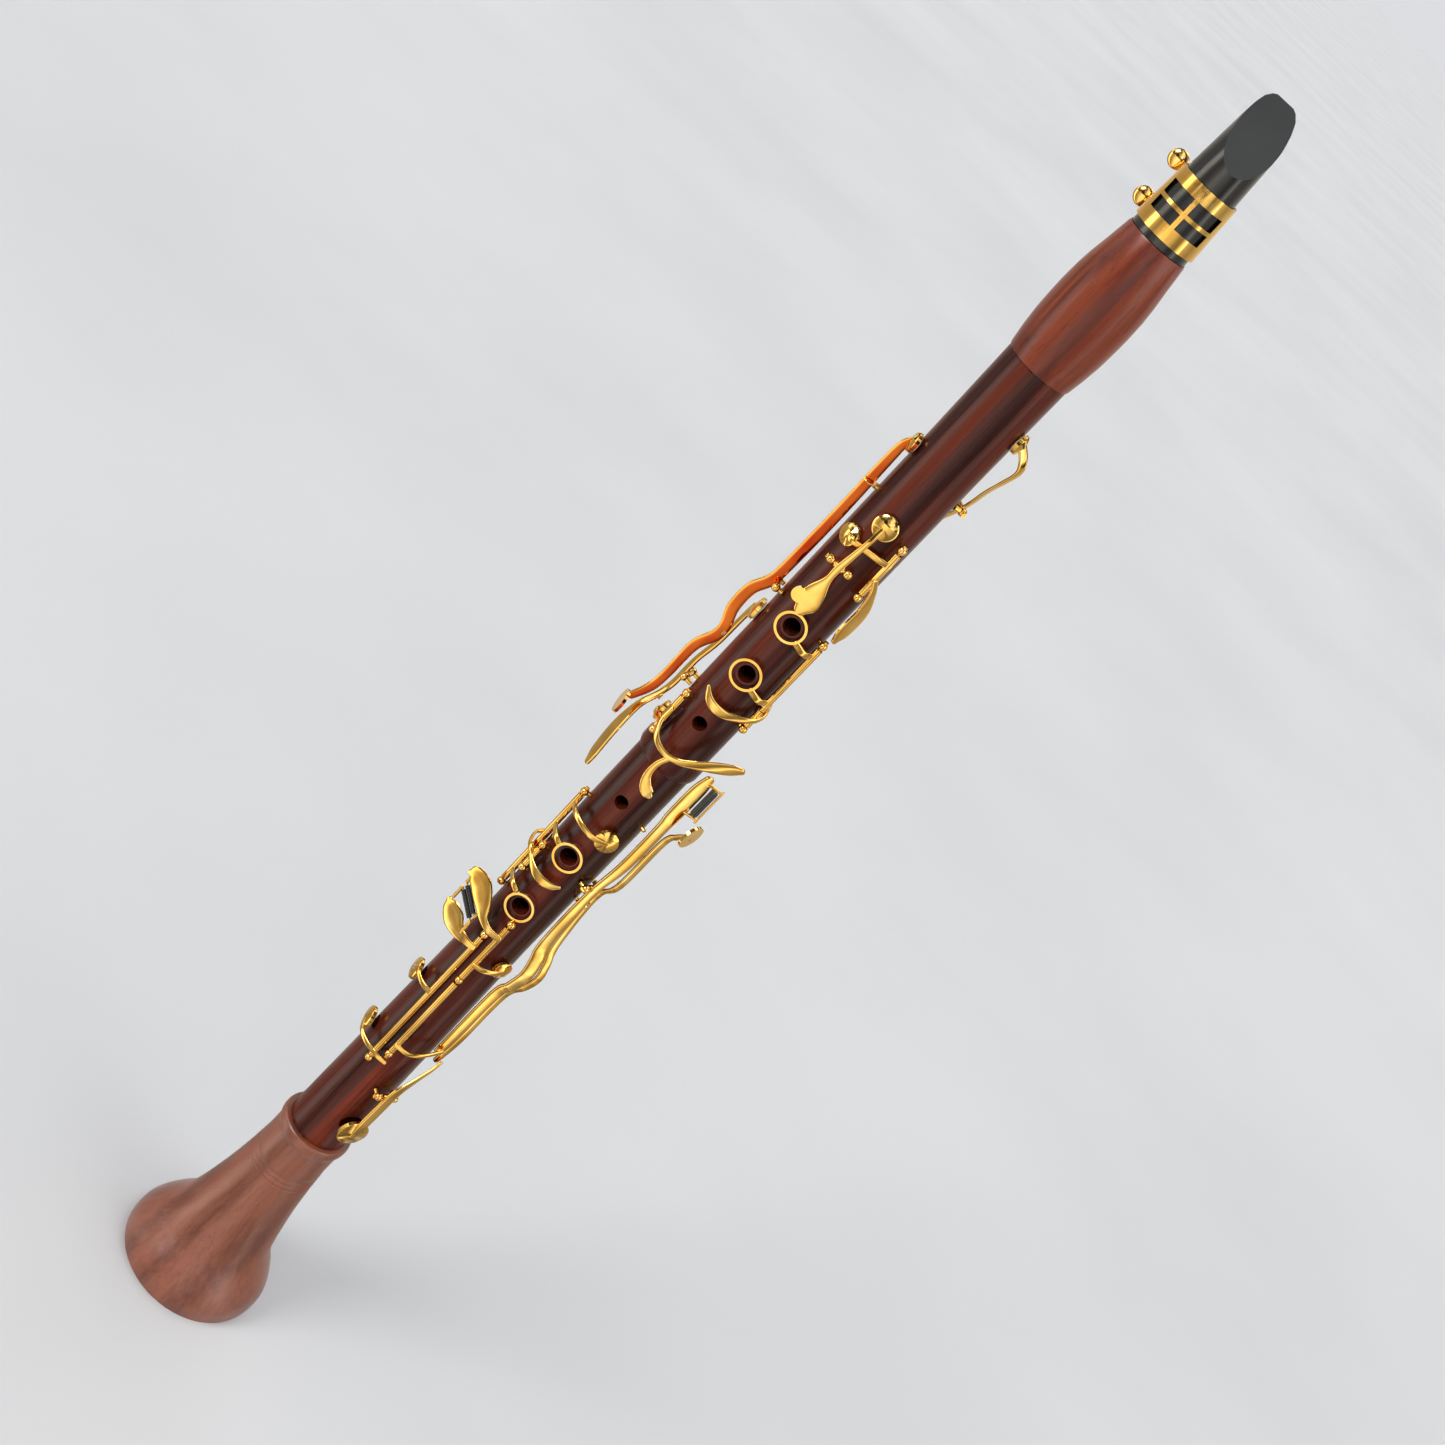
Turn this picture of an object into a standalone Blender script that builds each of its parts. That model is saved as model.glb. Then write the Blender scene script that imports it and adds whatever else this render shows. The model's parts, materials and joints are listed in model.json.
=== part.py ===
"""Simple-system clarinet in rosewood with gold keys, standing on its bell.

Frame: +Z runs up the bore from the bell rim (z = 0) to the mouthpiece tip. The front, with the
finger holes, faces -Y, and the trill levers are at -X.
Lengths are in millimetres and become metres in as_object. An angle about the bore is counted from
the front towards +X.
"""

import math

import bpy
import bmesh
from mathutils import Matrix, Vector

MM = 0.001
GAP = 0.3

# Joints of the tube, by height.
BELL_TOP = 126.0
LOWER_TOP = 418.0
UPPER_TOP = 667.0
BARREL_TOP = 736.0
TIP = 806.0

# Tube.
RIM_RADIUS = 42.0
BORE = 7.4
LOWER_BOTTOM_RADIUS = 17.2
LOWER_RADIUS = 14.8
UPPER_RADIUS = 15.0
TENON_RADIUS = 10.3
TENON_LENGTH = 18.5
GROOVE_DEPTH = 0.9
CORK_RADIUS = 11.0
SOCKET_RADIUS = 11.3
BELL_SOCKET_RADIUS = 14.3
BELL_TENON_RADIUS = 13.2

# Keywork.
STEEL_RADIUS = 0.7
SLEEVE_BORE = 1.0
SLEEVE_RADIUS = 1.7
BALL_RADIUS = 2.1
STEM_RADIUS = 1.3
FOOT_GAP = 0.35
PAD_THICKNESS = 1.7
PAD_STANDS_OUT = 0.7
RING_OUTER = 7.7
RING_INNER = 6.5
RING_THICKNESS = 1.5
RING_HEIGHT = 17.4
CHIMNEY_RADIUS = 5.3
CHIMNEY_TOP = 16.3

# Finger holes: height, side shift, radius, ring or not.
UPPER_HOLES = ((514.8, 0.0, 4.2, True), (483.8, 0.0, 4.2, True), (449.6, 0.0, 3.6, False))
LOWER_HOLES = ((393.0, -1.0, 3.5, False), (353.7, -1.4, 4.5, True), (315.9, -1.8, 4.5, True))

# Facets.
TUBE_SIDES = 22
PART_SIDES = 8
CUP_SIDES = 12
STRAP_SIDES = 6
STRAP_POWER = 0.55

GOLD = (0.83, 0.62, 0.24)
ROSEWOOD = (0.20, 0.05, 0.035)
LIGHT_ROSEWOOD = (0.36, 0.12, 0.07)
EBONITE = (0.03, 0.033, 0.035)
CORK = (0.62, 0.42, 0.24)
LEATHER = (0.80, 0.72, 0.60)
CANE = (0.86, 0.74, 0.45)


def clear_scene():
    for thing in list(bpy.data.objects):
        bpy.data.objects.remove(thing)


def collection(name):
    made = bpy.data.collections.new(name)
    bpy.context.scene.collection.children.link(made)
    return made


def material(name, colour, roughness, metallic=0.0):
    made = bpy.data.materials.new(name)
    made.use_nodes = True
    shader = made.node_tree.nodes["Principled BSDF"]
    shader.inputs["Base Color"].default_value = (*colour, 1.0)
    shader.inputs["Roughness"].default_value = roughness
    shader.inputs["Metallic"].default_value = metallic
    return made


def polar(radius, angle, z):
    """Point at this distance from the bore and this angle from the front."""
    turn = math.radians(angle)
    return Vector((radius * math.sin(turn), -radius * math.cos(turn), z))


def outward(angle):
    return polar(1.0, angle, 0.0)


def around(angle):
    turn = math.radians(angle)
    return Vector((math.cos(turn), math.sin(turn), 0.0))


def place(point, axis):
    """Matrix that stands a shape made along +Z on this point, along this axis."""
    return Matrix.Translation(point) @ Vector(axis).to_track_quat("Z", "Y").to_matrix().to_4x4()


def as_object(name, mesh, matrix=None):
    """Puts a millimetre mesh in the helpers, in metres."""
    mesh.transform(Matrix.Diagonal((MM, MM, MM, 1.0)) @ (matrix or Matrix()))
    made = bpy.data.objects.new(name, mesh)
    HELPERS.objects.link(made)
    made.hide_render = True
    made.display_type = "WIRE"
    return made


def evaluated_mesh(thing):
    bpy.context.view_layer.update()
    mesh = bpy.data.meshes.new_from_object(thing.evaluated_get(bpy.context.evaluated_depsgraph_get()))
    bpy.data.objects.remove(thing)
    return mesh


def turned(name, profile, sides=TUBE_SIDES, matrix=None, closed=False):
    """Profile of (radius, height) points, listed down the outer side, turned about +Z."""
    mesh = bpy.data.meshes.new(name)
    edges = [(i, i + 1) for i in range(len(profile) - 1)]
    if closed:
        edges.append((len(profile) - 1, 0))
    mesh.from_pydata([(radius, 0.0, height) for radius, height in profile], edges, [])
    made = bpy.data.objects.new(name, mesh)
    HELPERS.objects.link(made)
    screw = made.modifiers.new("turn", "SCREW")
    screw.steps = screw.render_steps = sides
    screw.use_merge_vertices = True
    screw.merge_threshold = 1e-4
    return as_object(name, evaluated_mesh(made), matrix)


def loft(name, sections, power=STRAP_POWER, sides=STRAP_SIDES):
    """Solid through sections of (centre, half width, half thickness), both halves as vectors."""
    body = bmesh.new()
    rings = []
    for centre, wide, thick in sections:
        ring = []
        for i in range(sides):
            turn = 2.0 * math.pi * (i + 0.5) / sides
            across = math.copysign(abs(math.cos(turn)) ** power, math.cos(turn))
            over = math.copysign(abs(math.sin(turn)) ** power, math.sin(turn))
            ring.append(body.verts.new(centre + wide * across + thick * over))
        rings.append(ring)
    for low, high in zip(rings, rings[1:]):
        for i in range(sides):
            j = (i + 1) % sides
            body.faces.new((low[i], low[j], high[j], high[i]))
    body.faces.new(reversed(rings[0]))
    body.faces.new(rings[-1])
    bmesh.ops.recalc_face_normals(body, faces=body.faces)
    mesh = bpy.data.meshes.new(name)
    body.to_mesh(mesh)
    body.free()
    return as_object(name, mesh)


def strap(name, stations, thickness=1.5, flat_to=None):
    """Flat bar through stations of (point, width). It lies flat to the bore, or to flat_to."""
    points = [Vector(point) for point, _ in stations]
    sections = []
    for i, (_, width) in enumerate(stations):
        along = (points[min(i + 1, len(points) - 1)] - points[max(i - 1, 0)]).normalized()
        normal = Vector(flat_to) if flat_to else Vector((points[i].x, points[i].y, 0.0))
        thick = (normal - along * normal.dot(along)).normalized()
        sections.append((points[i], along.cross(thick) * width / 2.0, thick * thickness / 2.0))
    return loft(name, sections)


def bar(name, start, end, radius, sides=PART_SIDES):
    start, end = Vector(start), Vector(end)
    body = bmesh.new()
    bmesh.ops.create_cone(body, cap_ends=True, segments=sides, radius1=radius, radius2=radius,
                          depth=(end - start).length)
    mesh = bpy.data.meshes.new(name)
    body.to_mesh(mesh)
    body.free()
    return as_object(name, mesh, place((start + end) / 2.0, end - start))


def block(name, low, high):
    low, high = Vector(low), Vector(high)
    body = bmesh.new()
    bmesh.ops.create_cube(body, size=1.0)
    mesh = bpy.data.meshes.new(name)
    body.to_mesh(mesh)
    body.free()
    size = high - low
    return as_object(name, mesh, Matrix.Translation((low + high) / 2.0) @ Matrix.Diagonal((*size, 1.0)))


def finish(name, pieces, look, cuts=(), pivot=(0.0, 0.0, 0.0)):
    """One node: the first piece, joined to the others, less the cuts, with its origin at pivot."""
    made = pieces[0]
    HELPERS.objects.unlink(made)
    PARTS.objects.link(made)
    for kind, others in (("UNION", pieces[1:]), ("DIFFERENCE", cuts)):
        for other in others:
            step = made.modifiers.new(kind.lower(), "BOOLEAN")
            step.operation = kind
            step.object = other
            step.solver = "EXACT"
    made.name = made.data.name = name
    made.hide_render = False
    made.display_type = "TEXTURED"
    origin = Vector(pivot) * MM
    made.data.transform(Matrix.Translation(-origin))
    made.location = origin
    made.data.materials.append(look)
    made.data.shade_smooth()
    made.data.set_sharp_from_angle(angle=math.radians(40.0))
    return made


# Tube.


def body_radius(z):
    """Outer radius of the two main joints."""
    if z > LOWER_TOP:
        return UPPER_RADIUS
    share = min(max((z - BELL_TOP) / 164.0, 0.0), 1.0)
    return LOWER_BOTTOM_RADIUS + (LOWER_RADIUS - LOWER_BOTTOM_RADIUS) * share


def tenon(shoulder, way):
    """Outer profile points of a tenon with its cork groove, from the shoulder to the end."""
    radius = TENON_RADIUS
    groove = radius - GROOVE_DEPTH
    return [(radius, shoulder + way * 0.01), (radius, shoulder + way * 4.0), (groove, shoulder + way * 4.0),
            (groove, shoulder + way * 14.0), (radius, shoulder + way * 14.0),
            (radius, shoulder + way * TENON_LENGTH)]


def cork(name, shoulder, way, inner=TENON_RADIUS - GROOVE_DEPTH, outer=CORK_RADIUS):
    near, far = shoulder + way * (4.0 + GAP), shoulder + way * (14.0 - GAP)
    low, high = min(near, far), max(near, far)
    inner += GAP
    profile = [(inner, high), (outer, high), (outer, low), (inner, low)]
    return finish(name, [turned("cork", profile, 18, closed=True)], LOOKS["cork"])


def hole(angle, z, radius, side=0.0):
    """Cutter from the bore out through the wall."""
    start = polar(1.0, angle, z) + around(angle) * side
    return bar("hole", start, start + outward(angle) * 20.0, radius, CUP_SIDES)


def chimney(z, side):
    start = polar(12.0, 0.0, z) + around(0.0) * side
    return bar("chimney", start, start + outward(0.0) * (CHIMNEY_TOP - 12.0), CHIMNEY_RADIUS, CUP_SIDES)


def bell():
    outside = [(19.4, 126.0), (20.2, 124.6), (20.3, 121.4), (19.4, 119.2), (18.9, 112.0), (18.9, 103.0),
               (20.0, 90.0), (23.1, 63.0), (28.2, 35.0), (32.0, 27.0), (36.4, 20.0), (40.2, 12.5),
               (RIM_RADIUS, 6.5),
               (41.6, 2.0), (41.0, 0.0)]
    inside = [(39.0, 0.0), (33.0, 8.0), (26.0, 17.0), (19.0, 31.0), (14.0, 53.0), (11.0, 82.0), (9.8, 106.0),
              (BELL_SOCKET_RADIUS, 106.0), (BELL_SOCKET_RADIUS, 126.0)]
    return finish("bell", [turned("tube", outside + inside, 26, closed=True)], LOOKS["light_rosewood"])


def lower_joint():
    low, high = BELL_TOP + GAP, LOWER_TOP
    outside = [(BORE, high + TENON_LENGTH)] + tenon(high, 1.0)[::-1]
    outside += [(14.6, high), (14.9, high - 1.0), (14.9, 400.0), (LOWER_RADIUS, 290.0)]
    outside.append((LOWER_BOTTOM_RADIUS, low))
    spigot, neck = BELL_TENON_RADIUS - GAP, BELL_TENON_RADIUS - 1.0
    outside += [(spigot, low), (spigot, low - 4.0), (neck, low - 4.0), (neck, low - 14.0),
                (spigot, low - 14.0),
                (spigot, low - 19.0)]
    inside = [(9.6, low - 19.0), (8.2, 150.0), (BORE, 210.0)]
    pieces = [turned("tube", outside + inside, closed=True)]
    cuts = []
    for z, side, radius, ringed in LOWER_HOLES:
        if ringed:
            pieces.append(chimney(z, side))
        cuts.append(hole(0.0, z, radius, side))
    cuts += [hole(angle, z, radius) for angle, z, radius in LOWER_PAD_HOLES]
    return finish("lower_joint", pieces, LOOKS["rosewood"], cuts)


def upper_joint():
    low, high = LOWER_TOP + GAP, UPPER_TOP
    outside = [(BORE, high + TENON_LENGTH)] + tenon(high, 1.0)[::-1]
    outside += [(15.3, high), (15.45, high - 1.0), (15.0, 609.0), (15.0, 430.0), (15.6, 427.3),
                (16.3, 425.5),
                (16.3, 420.5), (15.6, low)]
    inside = [(SOCKET_RADIUS, low), (SOCKET_RADIUS, low + TENON_LENGTH + 1.0),
              (BORE, low + TENON_LENGTH + 1.0)]
    pieces = [turned("tube", outside + inside, closed=True)]
    cuts = []
    for z, side, radius, ringed in UPPER_HOLES:
        if ringed:
            pieces.append(chimney(z, side))
        cuts.append(hole(0.0, z, radius, side))
    cuts += [hole(angle, z, radius) for angle, z, radius in UPPER_PAD_HOLES]
    return finish("upper_joint", pieces, LOOKS["rosewood"], cuts)


def barrel():
    low = UPPER_TOP + GAP
    outside = [(14.4, 736.0), (14.8, 735.0), (16.2, 724.0), (17.4, 716.0), (18.1, 709.0), (18.4, 700.0),
               (18.35, 693.0), (18.0, 684.0), (17.2, 676.0), (16.1, 668.5), (15.8, low)]
    inside = [(SOCKET_RADIUS, low), (SOCKET_RADIUS, low + 19.5), (BORE, low + 19.5),
              (BORE, BARREL_TOP - 19.5),
              (SOCKET_RADIUS, BARREL_TOP - 19.5), (SOCKET_RADIUS, BARREL_TOP)]
    return finish("barrel", [turned("tube", outside + inside, closed=True)], LOOKS["light_rosewood"])


MOUTHPIECE_BASE = 14.15
MOUTHPIECE_STATIONS = ((BARREL_TOP + GAP, MOUTHPIECE_BASE, MOUTHPIECE_BASE), (752.0, 13.3, 13.3),
                       (770.0, 12.2, 12.2),
                       (782.0, 11.5, 13.0), (792.0, 10.9, 13.4), (799.0, 10.2, 13.4), (803.0, 9.5, 13.4),
                       (805.2, 7.8, 13.4), (TIP, 5.8, 13.4))
TABLE_Y = 9.8
BEAK_BASE = 775.0
BEAK_TIP_Y = 8.9
BEAK_TURN = 12.0


def turned_beak(things):
    """The shapes of the mouthpiece, turned a little on the bore."""
    for thing in things:
        thing.data.transform(Matrix.Rotation(math.radians(BEAK_TURN), 4, "Z"))
    return things


def mouthpiece():
    low = BARREL_TOP + GAP
    blank = loft("blank", [(Vector((0, 0, z)), Vector((wide, 0, 0)), Vector((0, deep, 0)))
                                for z, wide, deep in MOUTHPIECE_STATIONS], 1.0, TUBE_SIDES)
    stub = [(0.0, low + 1.0), (TENON_RADIUS, low + 1.0)] + tenon(low, -1.0) + [(0.0, low - TENON_LENGTH)]
    slope = Vector((0.0, BEAK_TIP_Y + 12.2, TIP - BEAK_BASE))
    middle = Vector((0.0, -12.2, BEAK_BASE)) + slope / 2.0
    normal = Vector((0.0, -slope.z, slope.y)).normalized()
    face = block("beak_cut", (-30, -40, 0), (30, 40, 30))
    face.data.transform(Matrix.Translation(middle * MM) @ normal.to_track_quat("Z",
                                                                               "Y").to_matrix().to_4x4())
    cuts = [face, block("table_cut", (-30, TABLE_Y, low + 1.2), (30, 40, TIP + 5.0)),
            bar("bore", (0, 0, low - 30.0), (0, 0, 771.0), 7.2, 20),
            block("chamber", (-5.2, -1.0, 765.0), (5.2, 20.0, 785.0)),
            block("window", (-5.2, 7.2, 784.0), (5.2, 20.0, 801.5))]
    pieces = turned_beak([blank, turned("stub", stub)])
    return finish("mouthpiece", pieces, LOOKS["ebonite"], turned_beak(cuts))


def reed():
    back = TABLE_Y + GAP
    stations = ((738.5, 5.2, 1.8), (770.0, 5.6, 1.8), (778.0, 6.0, 1.6), (795.0, 6.4, 0.9),
                (803.0, 6.4, 0.5),
                (804.8, 5.0, 0.4))
    sections = [(Vector((0, back + deep / 2.0, z)), Vector((wide, 0, 0)), Vector((0, deep / 2.0, 0)))
                for z, wide, deep in stations]
    return finish("reed", turned_beak([loft("blade", sections, 0.5, 8)]), LOOKS["cane"])


BAND_LOW, BAND_HIGH = 739.5, 765.2
BAND_WALL = 0.95
BAND_TAPER = 0.055
SCREW_Y = 16.6
SCREW_HEIGHTS = (("ligature_screw_lower", 742.6), ("ligature_screw_upper", 762.2))


def ligature():
    low, high = (MOUTHPIECE_BASE - (z - BARREL_TOP) * BAND_TAPER + GAP for z in (BAND_LOW, BAND_HIGH))
    shell = [(low, BAND_LOW), (high, BAND_HIGH), (high + BAND_WALL, BAND_HIGH), (low + BAND_WALL, BAND_LOW)]
    pieces = [turned("shell", shell, closed=True)]
    for _, z in SCREW_HEIGHTS:
        for x in (-5.5, 3.5):
            pieces.append(block("ear", (x, 12.6, z - 2.6), (x + 2.0, 19.2, z + 2.6)))
    cuts = [bar("ear_hole", (-12, SCREW_Y, z), (12, SCREW_Y, z), 1.3) for _, z in SCREW_HEIGHTS]
    for bottom, top in ((745.7, 751.2), (752.9, 759.3)):
        for left in (-12.5, 1.0):
            cuts.append(block("window", (left, -20.0, bottom), (left + 11.5, -3.0, top)))
    return finish("ligature", pieces, LOOKS["gold"], cuts)


def ligature_screw(name, z):
    shank = bar("shank", (-14.5, SCREW_Y, z), (6.5, SCREW_Y, z), 1.0)
    paddle = bar("paddle", (-17.3, SCREW_Y - 0.9, z), (-17.3, SCREW_Y + 0.9, z), 4.4, 20)
    return finish(name, [paddle, shank], LOOKS["gold"], pivot=(-17.3, SCREW_Y, z))


def thumb_rest():
    plate = strap("plate", [((0, 15.9, 317), 10.0), ((0, 15.9, 345), 10.0)], 1.2)
    hook = strap("hook", [((0, 15.8, 322), 12.0), ((0, 20.0, 321), 13.0), ((0, 26.0, 321), 13.0),
                          ((0, 29.5, 323.5), 11.0)], 2.0, (0, 0, -1))
    return finish("thumb_rest", [plate, hook], LOOKS["gold"])


# Keywork.

# Hinges along the tube: radius, angle, lower post, upper post.
LONG_HINGES = {
    "g_sharp": (18.8, 39.0, 545.0, 574.0),
    "upper_ring": (18.3, 60.0, 460.0, 515.5),
    "c_sharp": (18.3, -48.0, 430.5, 455.0),
    "lower_ring": (18.6, -66.0, 313.5, 380.0),
    "lower_crescent": (18.6, -49.0, 330.0, 346.5),
    "rod_a": (19.0, -14.5, 192.5, 292.0),
    "rod_b": (19.0, 4.0, 203.0, 306.5),
}
MIDDLE_POST = 263.3
# Hinges across the tube: radius, angle, height.
CROSS_HINGES = {
    "register": (19.5, 125.0, 598.0),
    "throat_a": (19.2, 0.0, 551.0),
    "trill_1": (18.4, -78.0, 520.0),
    "trill_2": (19.4, -95.0, 456.0),
    "fs_cs_lever": (18.4, 66.0, 345.0),
    "eb_lever": (19.6, 94.0, 333.0),
    "eb_pad": (20.8, 49.0, 178.0),
}
THROAT_SHIFT = -2.85
CROSS_HALF = 5.0
SLEEVE_HALF = 2.4
END_GAP = 0.4

# Cups: angle, height, cup radius, height of the open pad over the wood.
CUPS = {
    "register": (80.0, 639.0, 5.0, 0.0),
    "throat_a": (0.0, 577.0, 6.0, 0.0),
    "g_sharp": (-33.0, 563.0, 5.2, 0.0),
    "trill_1": (-74.0, 609.0, 5.0, 0.0),
    "trill_2": (-84.0, 504.0, 5.8, 0.0),
    "upper_crescent": (84.0, 471.0, 4.2, 0.0),
    "c_sharp": (-90.0, 434.5, 5.6, 0.0),
    "lower_ring": (21.0, 374.0, 5.9, 1.5),
    "lower_crescent": (-90.0, 345.0, 4.2, 0.0),
    "f_c_upper": (-68.0, 243.0, 6.0, 2.0),
    "f_c_lower": (-68.0, 202.0, 6.3, 2.0),
    "ab_eb": (50.0, 279.0, 5.2, 0.0),
    "e_b": (45.0, 149.0, 8.2, 3.3),
}
UPPER_PAD_HOLES = [(CUPS[name][0], CUPS[name][1], CUPS[name][2] - 2.4)
                   for name in ("throat_a", "g_sharp", "trill_1", "trill_2", "upper_crescent")]
UPPER_PAD_HOLES += [(80.0, 639.0, 1.6), (180.0, 528.0, 4.2)]
LOWER_PAD_HOLES = [(CUPS[name][0], CUPS[name][1], CUPS[name][2] - 2.4)
                   for name in ("lower_ring", "lower_crescent", "f_c_upper", "f_c_lower", "ab_eb", "e_b")]


def pad_height(name):
    _, z, _, lift = CUPS[name]
    return body_radius(z) + FOOT_GAP + lift


def cup_top(name, over=3.1):
    angle, z, _, _ = CUPS[name]
    return polar(pad_height(name) + over, angle, z)


def cup(name):
    angle, z, radius, _ = CUPS[name]
    profile = [(0.0, 4.0), (radius - 0.6, 2.8), (radius, 2.3), (radius, PAD_STANDS_OUT),
               (radius - 0.7, PAD_STANDS_OUT), (radius - 0.7, PAD_THICKNESS + GAP),
               (0.0, PAD_THICKNESS + GAP)]
    return turned("cup", profile, CUP_SIDES, place(polar(pad_height(name), angle, z), outward(angle)))


def pad(name):
    angle, z, radius, _ = CUPS[name]
    low = polar(pad_height(name), angle, z)
    made = bar("disc", low, low + outward(angle) * PAD_THICKNESS, radius - 1.0, CUP_SIDES)
    return finish(name + "_pad", [made], LOOKS["leather"])


def ball(point):
    body = bmesh.new()
    bmesh.ops.create_uvsphere(body, u_segments=7, v_segments=5, radius=BALL_RADIUS)
    mesh = bpy.data.meshes.new("ball")
    body.to_mesh(mesh)
    body.free()
    return as_object("ball", mesh, Matrix.Translation(point))


def long_hinge(name):
    """Two ball posts and the steel between them, along the tube."""
    radius, angle, low, high = LONG_HINGES[name]
    pieces = [bar("steel", polar(radius, angle, low), polar(radius, angle, high), STEEL_RADIUS, 6)]
    for z in (low, high, MIDDLE_POST) if name == "rod_b" else (low, high):
        pieces.append(ball(polar(radius, angle, z)))
        foot = polar(body_radius(z) + FOOT_GAP, angle, z)
        pieces.append(bar("stem", polar(radius, angle, z), foot, STEM_RADIUS, 6))
    return finish(name + "_posts", pieces, LOOKS["gold"])


def cross_centre(name):
    radius, angle, z = CROSS_HINGES[name]
    centre = polar(radius, angle, z)
    if name == "throat_a":
        centre.x = THROAT_SHIFT
    return centre


def cross_hinge(name):
    """Two ball posts and the steel between them, across the tube."""
    radius, angle, z = CROSS_HINGES[name]
    centre = cross_centre(name)
    along = around(angle) * CROSS_HALF
    pieces = [bar("steel", centre - along, centre + along, STEEL_RADIUS, 6)]
    foot = math.sqrt((body_radius(z) + FOOT_GAP) ** 2 - (CROSS_HALF - STEM_RADIUS) ** 2)
    if name == "throat_a":
        foot = body_radius(z) + FOOT_GAP
    for end in (centre - along, centre + along):
        pieces.append(ball(end))
        pieces.append(bar("stem", end, end - outward(angle) * (radius - foot), STEM_RADIUS, 6))
    return finish(name + "_posts", pieces, LOOKS["gold"])


def long_sleeve(name, low=None, high=None):
    """Sleeve on a hinge along the tube, and the cutter of its bore."""
    radius, angle, bottom, top = LONG_HINGES[name]
    low = low or bottom + BALL_RADIUS + END_GAP
    high = high or top - BALL_RADIUS - END_GAP
    sleeve = bar("sleeve", polar(radius, angle, low), polar(radius, angle, high), SLEEVE_RADIUS)
    return sleeve, bar("bore", polar(radius, angle, low - 2.0), polar(radius, angle, high + 2.0),
                       SLEEVE_BORE)


def cross_sleeve(name):
    angle = CROSS_HINGES[name][1]
    centre, half = cross_centre(name), around(angle) * SLEEVE_HALF
    sleeve = bar("sleeve", centre - half, centre + half, SLEEVE_RADIUS)
    return sleeve, bar("bore", centre - half * 1.5, centre + half * 1.5, SLEEVE_BORE)


def key(name, sleeve_pair, pieces, pivot):
    sleeve, bore = sleeve_pair
    return finish(name, [sleeve, *pieces], LOOKS["gold"], [bore], pivot)


def long_pivot(name):
    radius, angle, low, _ = LONG_HINGES[name]
    return polar(radius, angle, low)


def disc(name, centre, normal, radius, thickness=1.6, sides=16):
    centre, half = Vector(centre), Vector(normal).normalized() * thickness / 2.0
    return bar(name, centre - half, centre + half, radius, sides)


def register_key():
    arm = [(cup_top("register"), 4.4), ((22.4, -2.0, 634.5), 4.8), ((24.4, -0.4, 629), 5.0),
           ((22.4, 3.0, 620), 4.8), ((20.4, 6.4, 612), 4.4), ((17.9, 12.6, 598), 4.0),
           ((11.5, 18.0, 580), 3.6)]
    touch = [((11.5, 18.0, 580), 3.6), ((4.0, 20.8, 562), 4.0), ((0.0, 21.0, 553), 8.0),
             ((0.0, 21.0, 545), 9.0),
             ((0.0, 20.8, 541), 5.0)]
    return key("register_key", cross_sleeve("register"),
               [cup("register"), strap("arm", arm, 1.5, outward(60)), strap("touch", touch)],
               cross_centre("register"))


def throat_a_key():
    path = [(cup_top("throat_a"), 2.6), ((-1.0, -20.6, 566), 2.6), ((-2.6, -21.0, 551), 3.4),
            ((-2.6, -21.0, 544), 3.6), ((-2.5, -21.0, 536), 9.0), ((-2.4, -21.0, 530), 11.0),
            ((-2.5, -20.8, 525), 6.0)]
    lobe = disc("lobe", (-7.2, -20.9, 530.0), (0, -1, 0), 3.6)
    return key("throat_a_key", cross_sleeve("throat_a"), [cup("throat_a"),
                                                          strap("arm", path, 1.5, (0, -1, 0)), lobe],
               cross_centre("throat_a"))


def g_sharp_key():
    arm = [(polar(19.6, 39, 565), 3.0), (polar(18.4, 24, 564.5), 3.0), (polar(17.4, 8, 564), 3.0),
           (polar(17.8, -8, 563.5), 3.0), (polar(19.0, -21, 563), 3.0), (cup_top("g_sharp"), 3.0)]
    touch = [((12.6, -15.6, 556), 3.0), ((15.5, -13.5, 550), 4.0), ((17.8, -10.2, 540), 8.0),
             ((18.1, -9.6, 532), 9.6), ((18.0, -9.6, 525), 8.0), ((17.8, -9.8, 521.5), 4.0)]
    return key("g_sharp_key", long_sleeve("g_sharp"),
               [cup("g_sharp"), strap("arm", arm), strap("touch", touch, 1.6, outward(58))],
               long_pivot("g_sharp"))


def finger_ring(z, side):
    """Flat ring round a finger hole."""
    inner = RING_INNER
    profile = [(inner, RING_THICKNESS), (RING_OUTER, RING_THICKNESS), (RING_OUTER, 0.0), (inner, 0.0)]
    return turned("ring", profile, 18, place((side, -RING_HEIGHT + RING_THICKNESS / 2.0, z), (0, -1, 0)),
                  True)


def upper_ring_key():
    pieces = []
    for z, side, _, ringed in UPPER_HOLES:
        if ringed:
            pieces.append(finger_ring(z, side))
            arm = [((15.6, -9.8, z - 6.5), 3.4), ((12.0, -15.0, z - 6.0), 3.2), ((6.2, -17.2, z - 4.0), 3.2)]
            pieces.append(strap("arm", arm))
    return key("upper_ring_key", long_sleeve("upper_ring", low=475.0), pieces, long_pivot("upper_ring"))


def upper_crescent_key():
    touch = [(polar(18.5, -27, 467), 2.0), (polar(18.5, -14, 463.4), 4.2), (polar(18.5, 2, 462.2), 5.0),
             (polar(18.5, 18, 462.8), 4.6), (polar(18.8, 35, 464.6), 3.6), (polar(19.8, 50, 466.5), 3.2),
             (polar(20.2, 61, 468.0), 3.0), (polar(19.8, 72, 470), 3.0), (cup_top("upper_crescent"), 3.0)]
    return key("upper_crescent_key", long_sleeve("upper_ring", high=472.5),
               [cup("upper_crescent"), strap("arm", touch)], long_pivot("upper_ring"))


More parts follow.
